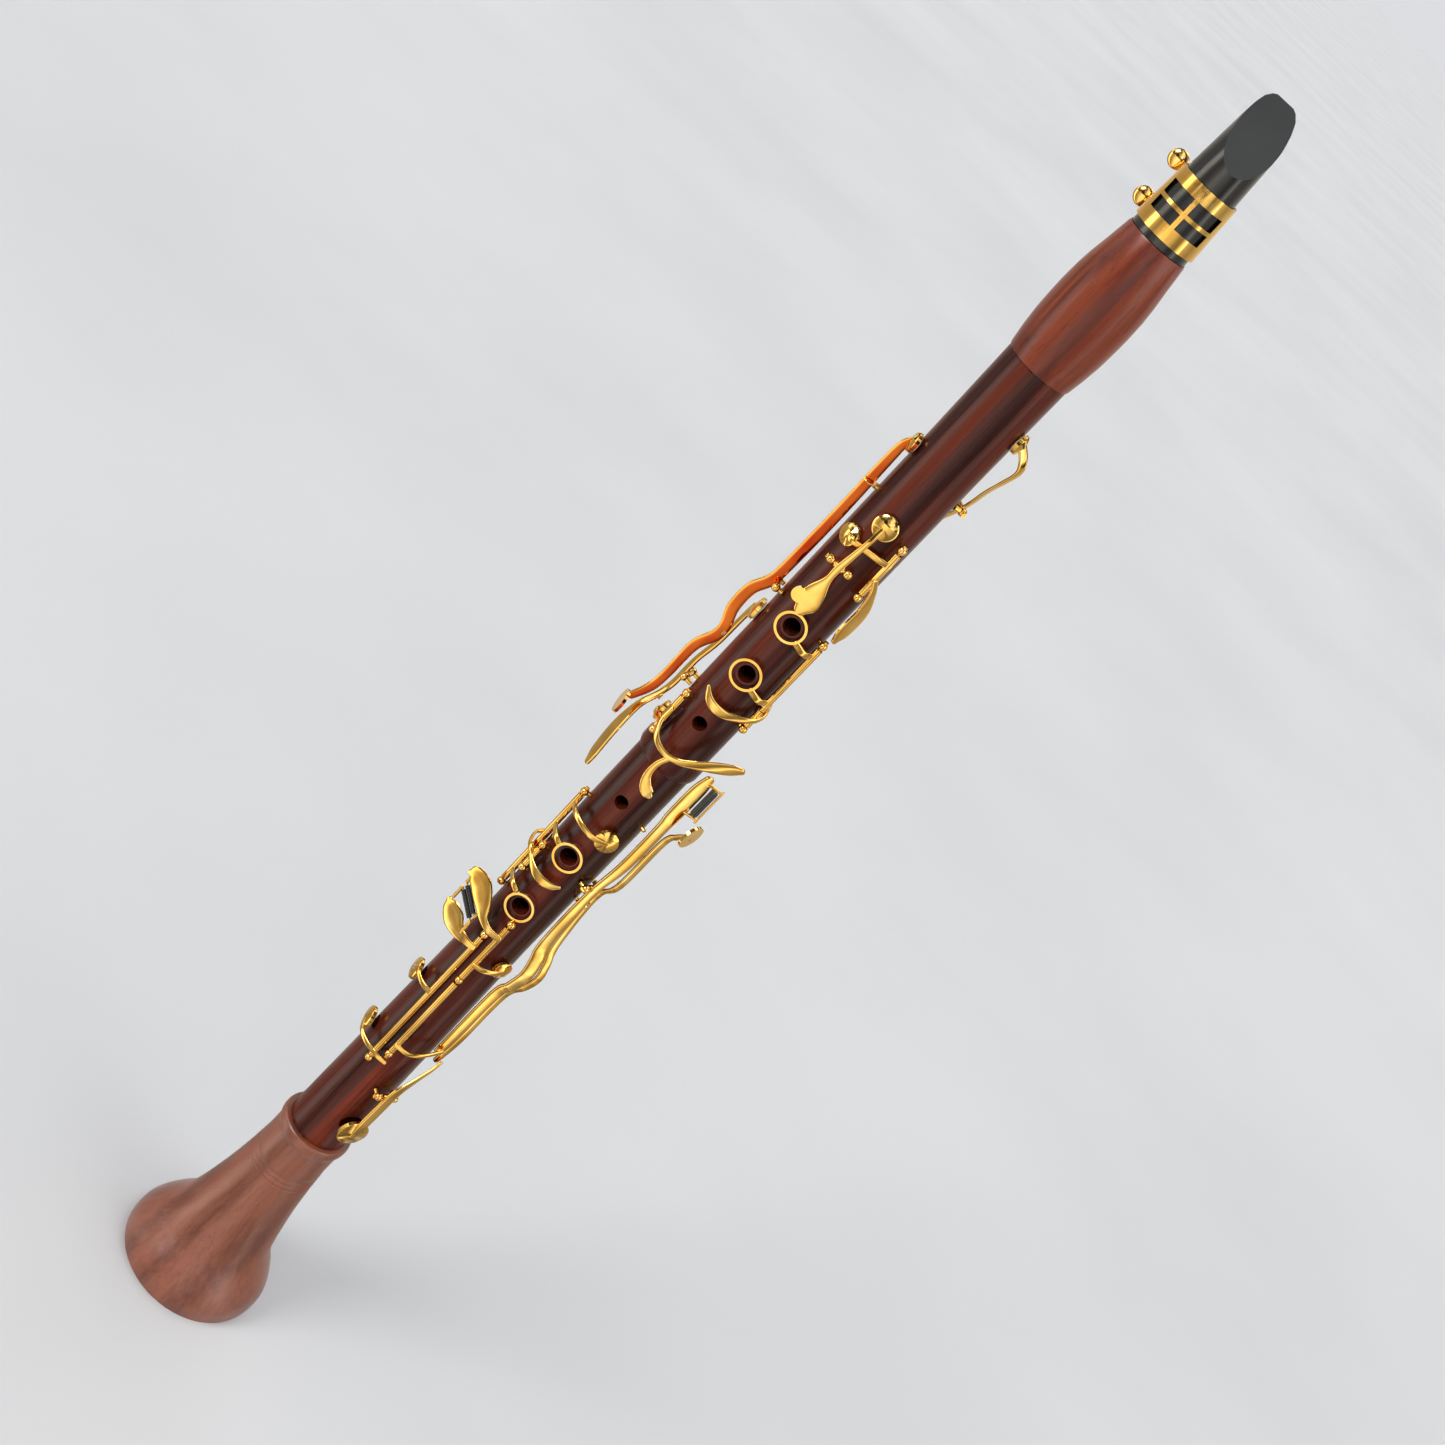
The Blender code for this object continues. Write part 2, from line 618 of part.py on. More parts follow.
def trill_key_1():
    lever = [(cup_top("trill_1", 3.7), 2.4), ((-19.4, -5.2, 600), 4.6), ((-19.3, -4.8, 560), 5.4),
             ((-19.9, -4.6, 528), 5.4), ((-21.0, -4.6, 519), 5.8), ((-24.8, -4.8, 510), 6.0),
             ((-25.0, -4.8, 498), 6.0), ((-22.1, -4.6, 489), 5.6), ((-22.1, -4.6, 482), 5.6),
             ((-25.8, -4.8, 471), 5.8), ((-26.0, -4.8, 452), 5.4), ((-27.8, -6.0, 442), 4.6),
             ((-31.6, -8.0, 433), 3.8)]
    touch = disc("touch", (-33.0, -8.8, 428), outward(-75), 6.3)
    return key("trill_key_1", cross_sleeve("trill_1"), [cup("trill_1"),
                                                        strap("lever", lever, 1.7, outward(12)), touch],
               cross_centre("trill_1"))


def trill_key_2():
    lever = [(cup_top("trill_2"), 3.4), ((-18.9, 0.6, 494), 3.4), ((-19.4, 2.0, 478), 3.4),
             ((-21.2, 2.0, 465), 3.6),
             ((-21.5, 1.9, 456), 4.2), ((-21.7, 1.6, 447), 4.0), ((-23.4, -0.6, 439), 3.6),
             ((-26.4, -3.4, 430), 4.6),
             ((-27.4, -4.4, 415), 7.0), ((-26.6, -4.4, 398), 6.6), ((-25.8, -4.4, 391), 3.6)]
    return key("trill_key_2", cross_sleeve("trill_2"), [cup("trill_2"),
                                                        strap("lever", lever, 1.6, outward(-50))],
               cross_centre("trill_2"))


def c_sharp_key():
    spatula = [((-14.0, -14.2, 445), 3.4), ((-13.8, -15.6, 438), 3.2), ((-9.5, -19.6, 432), 3.2),
               ((-2.0, -21.3, 430), 3.2), ((5.0, -21.4, 431.8), 3.4), ((12.0, -20.0, 436), 5.0),
               ((19.0, -17.8, 440.5), 7.4), ((25.0, -15.6, 444.2), 8.2), ((28.2, -14.4, 446.2), 5.6)]
    branch = [((1.5, -21.3, 431), 2.8), ((-1.2, -21.4, 424), 2.8), ((-1.2, -21.4, 417), 3.8),
              ((1.2, -21.4, 412), 5.6), ((4.4, -21.2, 409.4), 6.2), ((6.0, -21.0, 408.8), 3.6)]
    arm = [(polar(19.8, -48, 437), 3.0), (polar(20.0, -62, 436), 3.0), (polar(19.6, -76, 435), 3.0),
           (cup_top("c_sharp"), 3.0)]
    pieces = [cup("c_sharp"), strap("arm", arm), strap("spatula", spatula, 1.6),
              strap("branch", branch, 1.6, (0, -1, 0))]
    return key("c_sharp_key", long_sleeve("c_sharp"), pieces, long_pivot("c_sharp"))


def lower_ring_key():
    pieces = [cup("lower_ring")]
    for z, side, rise in ((353.7, -1.4, 3.0), (315.9, -1.8, 6.5)):
        pieces.append(finger_ring(z, side))
        arm = [((-16.9, -8.4, z + rise + 1.0), 3.4), ((-13.0, -15.4, z + rise + 0.5), 3.2),
               ((side - 6.0, -17.2, z + rise - 1.0), 3.2)]
        pieces.append(strap("arm", arm))
    over = [((-17.0, -8.4, 373.5), 3.0), ((-14.0, -15.4, 373.5), 3.0), ((-8.0, -19.2, 373), 3.0),
            ((0.0, -20.6, 372.5), 3.0), (cup_top("lower_ring", 3.3), 3.0)]
    pieces.append(strap("over", over))
    return key("lower_ring_key", long_sleeve("lower_ring"), pieces, long_pivot("lower_ring"))


def lower_crescent_key():
    touch = [(polar(20.0, -49, 338.5), 3.0), (polar(19.2, -39, 337), 3.6), (polar(18.6, -25, 335.6), 4.6),
             (polar(18.4, -9, 335.4), 4.8), (polar(18.4, 6, 336.6), 4.0), (polar(18.4, 17, 339), 2.0)]
    arm = [(polar(20.0, -49, 340), 3.0), (polar(21.6, -57, 341), 3.0), (polar(22.0, -68, 342.5), 3.0),
           (polar(21.2, -80, 344), 3.0), (cup_top("lower_crescent", 3.6), 3.0)]
    return key("lower_crescent_key", long_sleeve("lower_crescent"),
               [cup("lower_crescent"), strap("arm", arm), strap("touch", touch)],
               long_pivot("lower_crescent"))


ROLLER_BORE = 0.8
ROLLER_STEEL = 0.5
PADDLE_ROLLERS = {"ab_eb_roller": ((-27.0, -12.6, 301.4), (-15.6, -17.6, 295.4)),
                  "f_c_roller": ((-27.0, -12.6, 298.2), (-15.6, -17.6, 292.2))}
PADDLE_ROLLER_RADIUS = 1.3
LEVER_ROLLER = ((26.8, -4.2, 409.0), (26.8, -4.2, 424.5))
LEVER_ROLLER_RADIUS = 2.0


def roller(name, ends, radius):
    start, end = Vector(ends[0]), Vector(ends[1])
    length = (end - start).length
    profile = [(ROLLER_BORE, length), (radius, length), (radius, 0.0), (ROLLER_BORE, 0.0)]
    made = turned("roller", profile, 12, place(start, end - start), True)
    return finish(name, [made], LOOKS["black"], pivot=(start + end) / 2.0)


def roller_steel(ends, over=1.7):
    start, end = Vector(ends[0]), Vector(ends[1])
    beyond = (end - start).normalized() * over
    return bar("steel", start - beyond, end + beyond, ROLLER_STEEL), start - beyond, end + beyond


def paddle(stations, ends, way):
    """Little-finger touch with its roller's steel and two lugs, above (1) or below (-1) the roller."""
    steel, left, right = roller_steel(ends)
    shift = Vector((0.0, 0.0, 5.0 if way > 0 else -8.0))
    pieces = [steel, bar("lug", left, left + shift, 0.9, 8),
              bar("lug", right, right + shift + Vector((0.4, -0.6, 0.0)), 0.9, 8)]
    return pieces + [strap("paddle", stations, 1.7, (-0.42, -1.0, 0.0))]


def ab_eb_key():
    stations = [((-29.8, -11.6, 307.6), 4.0), ((-27.8, -12.6, 308.8), 9.6), ((-22.0, -15.2, 308.2), 13.2),
                ((-16.4, -17.8, 304.2), 11.0), ((-11.0, -20.4, 299.6), 5.6), ((-5.0, -22.0, 297.6), 4.0),
                ((1.3, -20.8, 297.0), 3.6)]
    arm = [((1.6, -20.6, 276.5), 3.0), (polar(20.4, 20, 277), 3.0), (polar(19.6, 36, 278), 3.0),
           (cup_top("ab_eb"), 3.0)]
    pieces = paddle(stations, PADDLE_ROLLERS["ab_eb_roller"], 1.0)
    return key("ab_eb_key", long_sleeve("rod_b", low=MIDDLE_POST + 2.5),
               pieces + [cup("ab_eb"), strap("arm", arm)],
               long_pivot("rod_b"))


def f_c_key():
    stations = [((-28.8, -11.6, 288.0), 4.0), ((-26.6, -12.8, 286.8), 9.8), ((-21.0, -15.2, 284.2), 12.8),
                ((-15.6, -17.6, 282.6), 8.6), ((-10.0, -19.8, 283.0), 5.0), ((-4.9, -20.2, 283.2), 4.0)]
    pieces = paddle(stations, PADDLE_ROLLERS["f_c_roller"], -1.0)
    for name, z in (("f_c_upper", 247.0), ("f_c_lower", 198.2)):
        arm = [(polar(20.6, -14.5, z), 3.0), (polar(21.4, -32, z), 3.0), (polar(22.4, -50, z + 1.0), 3.0),
               (cup_top(name), 3.0)]
        pieces += [cup(name), strap("arm", arm)]
    pieces.append(strap("finger", [(polar(20.6, -15.5, 198.2), 3.0), (polar(20.8, -5, 198.2), 3.0),
                                   (polar(20.8, 8, 198.2), 2.4)]))
    return key("f_c_key", long_sleeve("rod_a"), pieces, long_pivot("rod_a"))


def fs_cs_linkage():
    arm = [(polar(20.6, 3, 211), 3.0), (polar(21.8, 22, 211.5), 2.8), (polar(21.6, 42, 214), 2.8),
           ((19.9, -8.0, 217.5), 2.8)]
    return key("fs_cs_linkage", long_sleeve("rod_b", high=MIDDLE_POST - 2.5), [strap("arm", arm)],
               long_pivot("rod_b"))


def fs_cs_lever():
    lever = [((18.4, -6.0, 215), 5.2), ((18.9, -6.0, 262), 6.6), ((21.6, -6.0, 272), 7.2),
             ((23.4, -6.0, 283), 7.4),
             ((21.8, -6.0, 293), 7.2), ((19.6, -6.4, 302), 7.0), ((18.4, -8.0, 325), 6.0),
             ((18.4, -7.8, 345), 5.0),
             ((20.7, -6.2, 366), 6.4), ((20.8, -6.2, 394), 6.8), ((20.6, -6.2, 402), 8.2),
             ((20.7, -6.2, 420), 8.2),
             ((21.0, -6.2, 428), 5.4)]
    steel, low, high = roller_steel(LEVER_ROLLER)
    lugs = [bar("lug", low, Vector((22.6, -5.0, low.z - 0.4)), 0.9, 8),
            bar("lug", high, Vector((22.0, -5.4, high.z)), 0.9, 8)]
    rail = strap("rail", [((29.8, -3.8, low.z - 0.6), 2.4), ((29.8, -3.8, high.z + 0.6), 2.4)], 1.2,
                 (1, -0.1, 0))
    cross = [bar("lug", end, Vector((29.8, -3.8, end.z)), 0.7, 8) for end in (low, high)]
    pieces = [strap("lever", lever, 1.6, outward(35)), steel, rail, *lugs, *cross]
    return key("fs_cs_lever", cross_sleeve("fs_cs_lever"), pieces, cross_centre("fs_cs_lever"))


def eb_lever():
    lever = [((20.6, -1.6, 207), 3.6), ((22.0, -1.0, 225), 4.0), ((22.4, -1.0, 262), 4.0),
             ((27.0, -1.0, 274), 4.4),
             ((28.8, -1.0, 283), 4.4), ((27.0, -1.0, 292), 4.4), ((23.8, -0.4, 302), 4.2),
             ((21.6, 1.2, 325), 3.4),
             ((21.6, 1.4, 341), 3.4), ((25.6, -0.4, 352), 4.2), ((26.0, -1.0, 385), 4.2),
             ((29.0, -1.6, 393), 4.0),
             ((32.6, -3.2, 397), 5.0)]
    pieces = [strap("lever", lever, 1.5, outward(38)), disc("touch", (33.2, -3.4, 399.0), outward(68), 6.8,
                                                            1.5)]
    return key("eb_lever", cross_sleeve("eb_lever"), pieces, cross_centre("eb_lever"))


def eb_pad_key():
    path = [(cup_top("e_b"), 4.6), (polar(23.6, 46, 158), 6.0), (polar(23.2, 48, 170), 6.4),
            (polar(23.1, 50, 184), 6.0),
            ((20.0, -11.0, 194), 4.6), ((22.6, -5.4, 203), 4.0), ((23.4, -2.6, 208), 3.2)]
    return key("eb_pad_key", cross_sleeve("eb_pad"), [cup("e_b"), strap("arm", path, 1.6)],
               cross_centre("eb_pad"))


clear_scene()
PARTS = collection("clarinet")
HELPERS = collection("helpers")
LOOKS = {
    "gold": material("gold", GOLD, 0.18, 1.0),
    "rosewood": material("rosewood", ROSEWOOD, 0.35),
    "light_rosewood": material("light_rosewood", LIGHT_ROSEWOOD, 0.42),
    "ebonite": material("ebonite", EBONITE, 0.22),
    "black": material("black", EBONITE, 0.3),
    "cork": material("cork", CORK, 0.85),
    "leather": material("leather", LEATHER, 0.7),
    "cane": material("cane", CANE, 0.6),
}
bell()
lower_joint()
upper_joint()
barrel()
mouthpiece()
reed()
ligature()
for screw_name, screw_z in SCREW_HEIGHTS:
    ligature_screw(screw_name, screw_z)
thumb_rest()
cork("bell_tenon_cork", BELL_TOP + GAP, -1.0, BELL_TENON_RADIUS - 1.0, 13.9)
cork("middle_tenon_cork", LOWER_TOP, 1.0)
cork("upper_tenon_cork", UPPER_TOP, 1.0)
cork("mouthpiece_cork", BARREL_TOP + GAP, -1.0)
for hinge_name in LONG_HINGES:
    long_hinge(hinge_name)
for hinge_name in CROSS_HINGES:
    cross_hinge(hinge_name)
for make_key in (register_key, throat_a_key, g_sharp_key, upper_ring_key, upper_crescent_key, trill_key_1,
                 trill_key_2, c_sharp_key, lower_ring_key, lower_crescent_key, ab_eb_key, f_c_key,
                 fs_cs_linkage, fs_cs_lever, eb_lever, eb_pad_key):
    make_key()
for roller_name, roller_ends in PADDLE_ROLLERS.items():
    roller(roller_name, roller_ends, PADDLE_ROLLER_RADIUS)
roller("lever_roller", LEVER_ROLLER, LEVER_ROLLER_RADIUS)
for cup_name in CUPS:
    pad(cup_name)
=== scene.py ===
"""The look of the simple-system clarinet: fine shapes, materials, light and camera.

Frame and units are the model's: +Z up the bore from the bell rim, front at -Y. Shapes are written in
millimetres and become metres in as_object. An angle about the bore is counted from the front
towards +X.
"""

import json
import math

import bpy
import bmesh
from mathutils import Matrix, Vector

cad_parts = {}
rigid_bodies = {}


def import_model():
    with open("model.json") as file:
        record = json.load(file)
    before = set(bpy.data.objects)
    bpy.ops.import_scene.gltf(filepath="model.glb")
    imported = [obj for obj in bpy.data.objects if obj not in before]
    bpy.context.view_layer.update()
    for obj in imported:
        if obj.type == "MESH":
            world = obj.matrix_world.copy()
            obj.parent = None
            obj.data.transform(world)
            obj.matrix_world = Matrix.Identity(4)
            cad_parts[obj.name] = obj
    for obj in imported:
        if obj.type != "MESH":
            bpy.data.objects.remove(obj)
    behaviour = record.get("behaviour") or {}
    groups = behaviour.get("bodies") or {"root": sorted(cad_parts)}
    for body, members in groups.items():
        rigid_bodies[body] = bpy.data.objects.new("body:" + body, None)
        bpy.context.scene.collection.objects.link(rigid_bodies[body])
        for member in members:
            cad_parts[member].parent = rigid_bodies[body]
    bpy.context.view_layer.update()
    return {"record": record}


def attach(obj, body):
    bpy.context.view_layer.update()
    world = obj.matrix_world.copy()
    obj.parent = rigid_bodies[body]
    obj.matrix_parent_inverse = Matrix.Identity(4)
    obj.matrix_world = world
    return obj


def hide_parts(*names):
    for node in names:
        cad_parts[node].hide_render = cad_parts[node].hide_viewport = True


for thing in list(bpy.data.objects):
    if thing.name in ("Cube", "Light", "Camera"):
        bpy.data.objects.remove(thing)

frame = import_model()

MM = 0.001
GAP = 0.3

# Joints of the tube, by height.
BELL_TOP = 126.0
LOWER_TOP = 418.0
UPPER_TOP = 667.0
BARREL_TOP = 736.0
TIP = 806.0

# Tube.
RIM_RADIUS = 41.68
BORE = 7.4
LOWER_BOTTOM_RADIUS = 17.2
LOWER_RADIUS = 14.8
UPPER_RADIUS = 15.0
TENON_RADIUS = 10.3
TENON_LENGTH = 18.5
GROOVE_DEPTH = 0.9
CORK_RADIUS = 11.0
SOCKET_RADIUS = 11.3
BELL_SOCKET_RADIUS = 14.3
BELL_TENON_RADIUS = 13.2

# Keywork.
STEEL_RADIUS = 0.7
SLEEVE_BORE = 1.0
SLEEVE_RADIUS = 1.7
BALL_RADIUS = 2.1
STEM_RADIUS = 1.3
FOOT_GAP = 0.35
PAD_THICKNESS = 1.7
PAD_STANDS_OUT = 0.7
RING_OUTER = 7.7
RING_INNER = 6.5
RING_THICKNESS = 1.5
RING_HEIGHT = 17.4
CHIMNEY_RADIUS = 5.3
CHIMNEY_TOP = 16.3

# Grooves round the bell, from the top.
GROOVES = (98.0, 94.8, 91.6)

# Finger holes: height, side shift, radius, ring or not.
UPPER_HOLES = ((514.8, 0.0, 4.2, True), (483.8, 0.0, 4.2, True), (449.6, 0.0, 3.6, False))
LOWER_HOLES = ((393.0, -1.0, 3.5, False), (353.7, -1.4, 4.5, True), (315.9, -1.8, 4.5, True))

# Fineness.
TUBE_SIDES = 96
PART_SIDES = 20
CUP_SIDES = 40
STRAP_SIDES = 20
STRAP_POWER = 0.84
BAR_POWER = 0.55
PATH_STEPS = 6
END_STEPS = 4

HELPERS = bpy.data.collections.new("helpers")
bpy.context.scene.collection.children.link(HELPERS)
LOOKS = {}
BODY_OF = {node: body for body, nodes in frame["record"]["behaviour"]["bodies"].items() for node in nodes}


def polar(radius, angle, z):
    """Point at this distance from the bore and this angle from the front."""
    turn = math.radians(angle)
    return Vector((radius * math.sin(turn), -radius * math.cos(turn), z))


def outward(angle):
    return polar(1.0, angle, 0.0)


def around(angle):
    turn = math.radians(angle)
    return Vector((math.cos(turn), math.sin(turn), 0.0))


def place(point, axis):
    """Matrix that stands a shape made along +Z on this point, along this axis."""
    return Matrix.Translation(point) @ Vector(axis).to_track_quat("Z", "Y").to_matrix().to_4x4()


def as_object(name, mesh, matrix=None):
    """Puts a millimetre mesh in the helpers, in metres."""
    mesh.transform(Matrix.Diagonal((MM, MM, MM, 1.0)) @ (matrix or Matrix()))
    made = bpy.data.objects.new(name, mesh)
    HELPERS.objects.link(made)
    made.hide_render = True
    return made


def evaluated_mesh(thing):
    bpy.context.view_layer.update()
    mesh = bpy.data.meshes.new_from_object(thing.evaluated_get(bpy.context.evaluated_depsgraph_get()))
    bpy.data.objects.remove(thing)
    return mesh


def turned(name, profile, sides=TUBE_SIDES, matrix=None, closed=False):
    """Profile of (radius, height) points, listed down the outer side, turned about +Z."""
    mesh = bpy.data.meshes.new(name)
    edges = [(i, i + 1) for i in range(len(profile) - 1)]
    if closed:
        edges.append((len(profile) - 1, 0))
    mesh.from_pydata([(radius, 0.0, height) for radius, height in profile], edges, [])
    made = bpy.data.objects.new(name, mesh)
    HELPERS.objects.link(made)
    screw = made.modifiers.new("turn", "SCREW")
    screw.steps = screw.render_steps = sides
    screw.use_merge_vertices = True
    screw.merge_threshold = 1e-4
    return as_object(name, evaluated_mesh(made), matrix)


def loft(name, sections, power=STRAP_POWER, sides=STRAP_SIDES):
    """Solid through sections of (centre, half width, half thickness), both halves as vectors."""
    body = bmesh.new()
    rings = []
    for centre, wide, thick in sections:
        ring = []
        for i in range(sides):
            turn = 2.0 * math.pi * (i + 0.5) / sides
            across = math.copysign(abs(math.cos(turn)) ** power, math.cos(turn))
            over = math.copysign(abs(math.sin(turn)) ** power, math.sin(turn))
            ring.append(body.verts.new(centre + wide * across + thick * over))
        rings.append(ring)
    for low, high in zip(rings, rings[1:]):
        for i in range(sides):
            j = (i + 1) % sides
            body.faces.new((low[i], low[j], high[j], high[i]))
    body.faces.new(reversed(rings[0]))
    body.faces.new(rings[-1])
    bmesh.ops.recalc_face_normals(body, faces=body.faces)
    mesh = bpy.data.meshes.new(name)
    body.to_mesh(mesh)
    body.free()
    return as_object(name, mesh)


def between(before, start, end, after, share):
    """Catmull-Rom value between start and end. It takes numbers and vectors."""
    bend = (before * -1.0 + start * 3.0 - end * 3.0 + after) * share ** 3
    slope = (before * 2.0 - start * 5.0 + end * 4.0 - after) * share ** 2
    return start + (bend + slope + (end - before) * share) * 0.5


def smooth_stations(stations):
    """The stations of a strap joined by a smooth curve, with a rounded end past each of its two ends."""
    knots = [(Vector(point), width) for point, width in stations]
    knots = [knots[0], *knots, knots[-1]]
    fine = []
    for a, b, c, d in zip(knots, knots[1:], knots[2:], knots[3:]):
        for step in range(PATH_STEPS):
            share = step / PATH_STEPS
            fine.append((between(a[0], b[0], c[0], d[0], share), between(a[1], b[1], c[1], d[1], share)))
    fine.append(knots[-1])
    return rounded(rounded(fine)[::-1])[::-1]


def rounded(fine):
    """The list with its last station drawn out to a round end."""
    point, width = fine[-1]
    along = (point - fine[-2][0]).normalized()
    for step in range(1, END_STEPS + 1):
        turn = math.radians(82.0) * step / END_STEPS
        fine = fine + [(point + along * math.sin(turn) * width * 0.4, width * math.cos(turn))]
    return fine


def strap(name, stations, thickness=1.5, flat_to=None, power=STRAP_POWER):
    """Flat bar through stations of (point, width). It lies flat to the bore, or to flat_to."""
    fine = smooth_stations(stations)
    points = [point for point, _ in fine]
    sections = []
    for i, (point, width) in enumerate(fine):
        along = (points[min(i + 1, len(points) - 1)] - points[max(i - 1, 0)]).normalized()
        normal = Vector(flat_to) if flat_to else Vector((point.x, point.y, 0.0))
        thick = (normal - along * normal.dot(along)).normalized()
        wide = along.cross(thick) * width / 2.0
        sections.append((point, wide, thick * min(thickness, width * 0.9) / 2.0))
    return loft(name, sections, power)


def bar(name, start, end, radius, sides=PART_SIDES):
    start, end = Vector(start), Vector(end)
    body = bmesh.new()
    bmesh.ops.create_cone(body, cap_ends=True, segments=sides, radius1=radius, radius2=radius,
                          depth=(end - start).length)
    mesh = bpy.data.meshes.new(name)
    body.to_mesh(mesh)
    body.free()
    return as_object(name, mesh, place((start + end) / 2.0, end - start))


def block(name, low, high):
    low, high = Vector(low), Vector(high)
    body = bmesh.new()
    bmesh.ops.create_cube(body, size=1.0)
    mesh = bpy.data.meshes.new(name)
    body.to_mesh(mesh)
    body.free()
    size = high - low
    return as_object(name, mesh, Matrix.Translation((low + high) / 2.0) @ Matrix.Diagonal((*size, 1.0)))


def finish(node, pieces, look, cuts=()):
    """The fine piece for one node: pieces joined, less the cuts. It rides on the node's body."""
    made = pieces[0]
    for kind, others in (("UNION", pieces[1:]), ("DIFFERENCE", cuts)):
        for other in others:
            step = made.modifiers.new(kind.lower(), "BOOLEAN")
            step.operation = kind
            step.object = other
            step.solver = "EXACT"
    bpy.context.view_layer.update()
    mesh = bpy.data.meshes.new_from_object(made.evaluated_get(bpy.context.evaluated_depsgraph_get()))
    for helper in [*pieces, *cuts]:
        bpy.data.objects.remove(helper)
    mesh.materials.clear()
    mesh.materials.append(look)
    mesh.shade_smooth()
    mesh.set_sharp_from_angle(angle=math.radians(38.0))
    piece = bpy.data.objects.new(node + "_fine", mesh)
    bpy.context.scene.collection.objects.link(piece)
    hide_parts(node)
    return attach(piece, BODY_OF[node])


def extra(name, made, look, body):
    """A small piece that only the look has. It rides on this body."""
    mesh = made.data
    HELPERS.objects.unlink(made)
    made.name = mesh.name = name
    made.hide_render = False
    bpy.context.scene.collection.objects.link(made)
    mesh.materials.clear()
    mesh.materials.append(look)
    mesh.shade_smooth()
    mesh.set_sharp_from_angle(angle=math.radians(38.0))
    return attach(made, body)


# Materials. Every texture is laid out in the frame's own metres, so that grain runs up the bore.


class Look:
    """A node material around one Principled shader."""

    def __init__(self, name, **sockets):
        self.material = bpy.data.materials.new(name)
        self.material.use_nodes = True
        self.tree = self.material.node_tree
        self.shader = self.tree.nodes["Principled BSDF"]
        for socket, value in sockets.items():
            self.shader.inputs[socket.replace("_", " ")].default_value = value
        self.place = self.tree.nodes.new("ShaderNodeTexCoord").outputs["Object"]

    def stretched(self, scale, turn=(0.0, 0.0, 0.0)):
        node = self.tree.nodes.new("ShaderNodeMapping")
        node.inputs["Scale"].default_value = scale
        node.inputs["Rotation"].default_value = turn
        self.tree.links.new(self.place, node.inputs["Vector"])
        return node.outputs["Vector"]

    def noise(self, scale, detail=4.0, rough=0.55, bend=0.0, turn=(0.0, 0.0, 0.0)):
        """Noise with this many waves to the metre along each axis."""
        node = self.tree.nodes.new("ShaderNodeTexNoise")
        node.inputs["Scale"].default_value = 1.0
        node.inputs["Detail"].default_value = detail
        node.inputs["Roughness"].default_value = rough
        node.inputs["Distortion"].default_value = bend
        self.tree.links.new(self.stretched(scale, turn), node.inputs["Vector"])
        return node.outputs["Fac"]

    def rings(self, scale, bend):
        """Growth rings, cut along by the turned surface."""
        node = self.tree.nodes.new("ShaderNodeTexWave")
        node.inputs["Scale"].default_value = 1.0
        node.inputs["Distortion"].default_value = bend
        node.inputs["Detail"].default_value = 3.0
        node.inputs["Detail Scale"].default_value = 1.5
        self.tree.links.new(self.stretched(scale, (0.12, 0.2, 0.5)), node.inputs["Vector"])
        return node.outputs["Fac"]

    def blend(self, first, second, share):
        """Two patterns as one, with this share of the second."""
        node = self.tree.nodes.new("ShaderNodeMix")
        node.inputs["Factor"].default_value = share
        self.tree.links.new(first, node.inputs["A"])
        self.tree.links.new(second, node.inputs["B"])
        return node.outputs["Result"]

    def cells(self, scale, feature="F1"):
        node = self.tree.nodes.new("ShaderNodeTexVoronoi")
        node.feature = feature
        node.inputs["Scale"].default_value = 1.0
        self.tree.links.new(self.stretched(scale), node.inputs["Vector"])
        return node.outputs["Distance"]

    def ramp(self, value, *stops):
        """Colours or greys by value, from (position, colour) stops."""
        node = self.tree.nodes.new("ShaderNodeValToRGB")
        ramp = node.color_ramp
        while len(ramp.elements) < len(stops):
            ramp.elements.new(0.5)
        for element, (position, colour) in zip(ramp.elements, stops):
            element.position = position
            element.color = colour if isinstance(colour, tuple) else (colour, colour, colour, 1.0)
        self.tree.links.new(value, node.inputs["Fac"])
        return node.outputs["Color"]

    def mix(self, share, first, second, blend="MIX"):
        node = self.tree.nodes.new("ShaderNodeMix")
        node.data_type = "RGBA"
        node.blend_type = blend
        self.tree.links.new(share, node.inputs["Factor"])
        self.tree.links.new(first, node.inputs["A"])
        self.tree.links.new(second, node.inputs["B"])
        return node.outputs["Result"]

    def layered(self, base, over, blend="MULTIPLY"):
        """One colour laid over another all over."""
        node = self.tree.nodes.new("ShaderNodeMix")
        node.data_type = "RGBA"
        node.blend_type = blend
        node.inputs["Factor"].default_value = 1.0
        self.tree.links.new(base, node.inputs["A"])
        self.tree.links.new(over, node.inputs["B"])
        return node.outputs["Result"]

    def colour(self, value):
        self.tree.links.new(value, self.shader.inputs["Base Color"])

    def roughness(self, value, low, high):
        self.tree.links.new(self.ramp(value, (0.3, low), (0.7, high)), self.shader.inputs["Roughness"])

    def bump(self, *layers):
        """Relief from (value, depth in metres) layers."""
        below = None
        for value, depth in layers:
            node = self.tree.nodes.new("ShaderNodeBump")
            node.inputs["Distance"].default_value = depth
            self.tree.links.new(value, node.inputs["Height"])
            if below:
                self.tree.links.new(below, node.inputs["Normal"])
            below = node.outputs["Normal"]
        self.tree.links.new(below, self.shader.inputs["Normal"])


def tone(code, alpha=1.0):
    """Linear colour of a hex code."""
    parts = [int(code[i:i + 2], 16) / 255.0 for i in (0, 2, 4)]
    return tuple(part / 12.92 if part <= 0.04045 else ((part + 0.055) / 1.055) ** 2.4 for part in parts) + (alpha,)


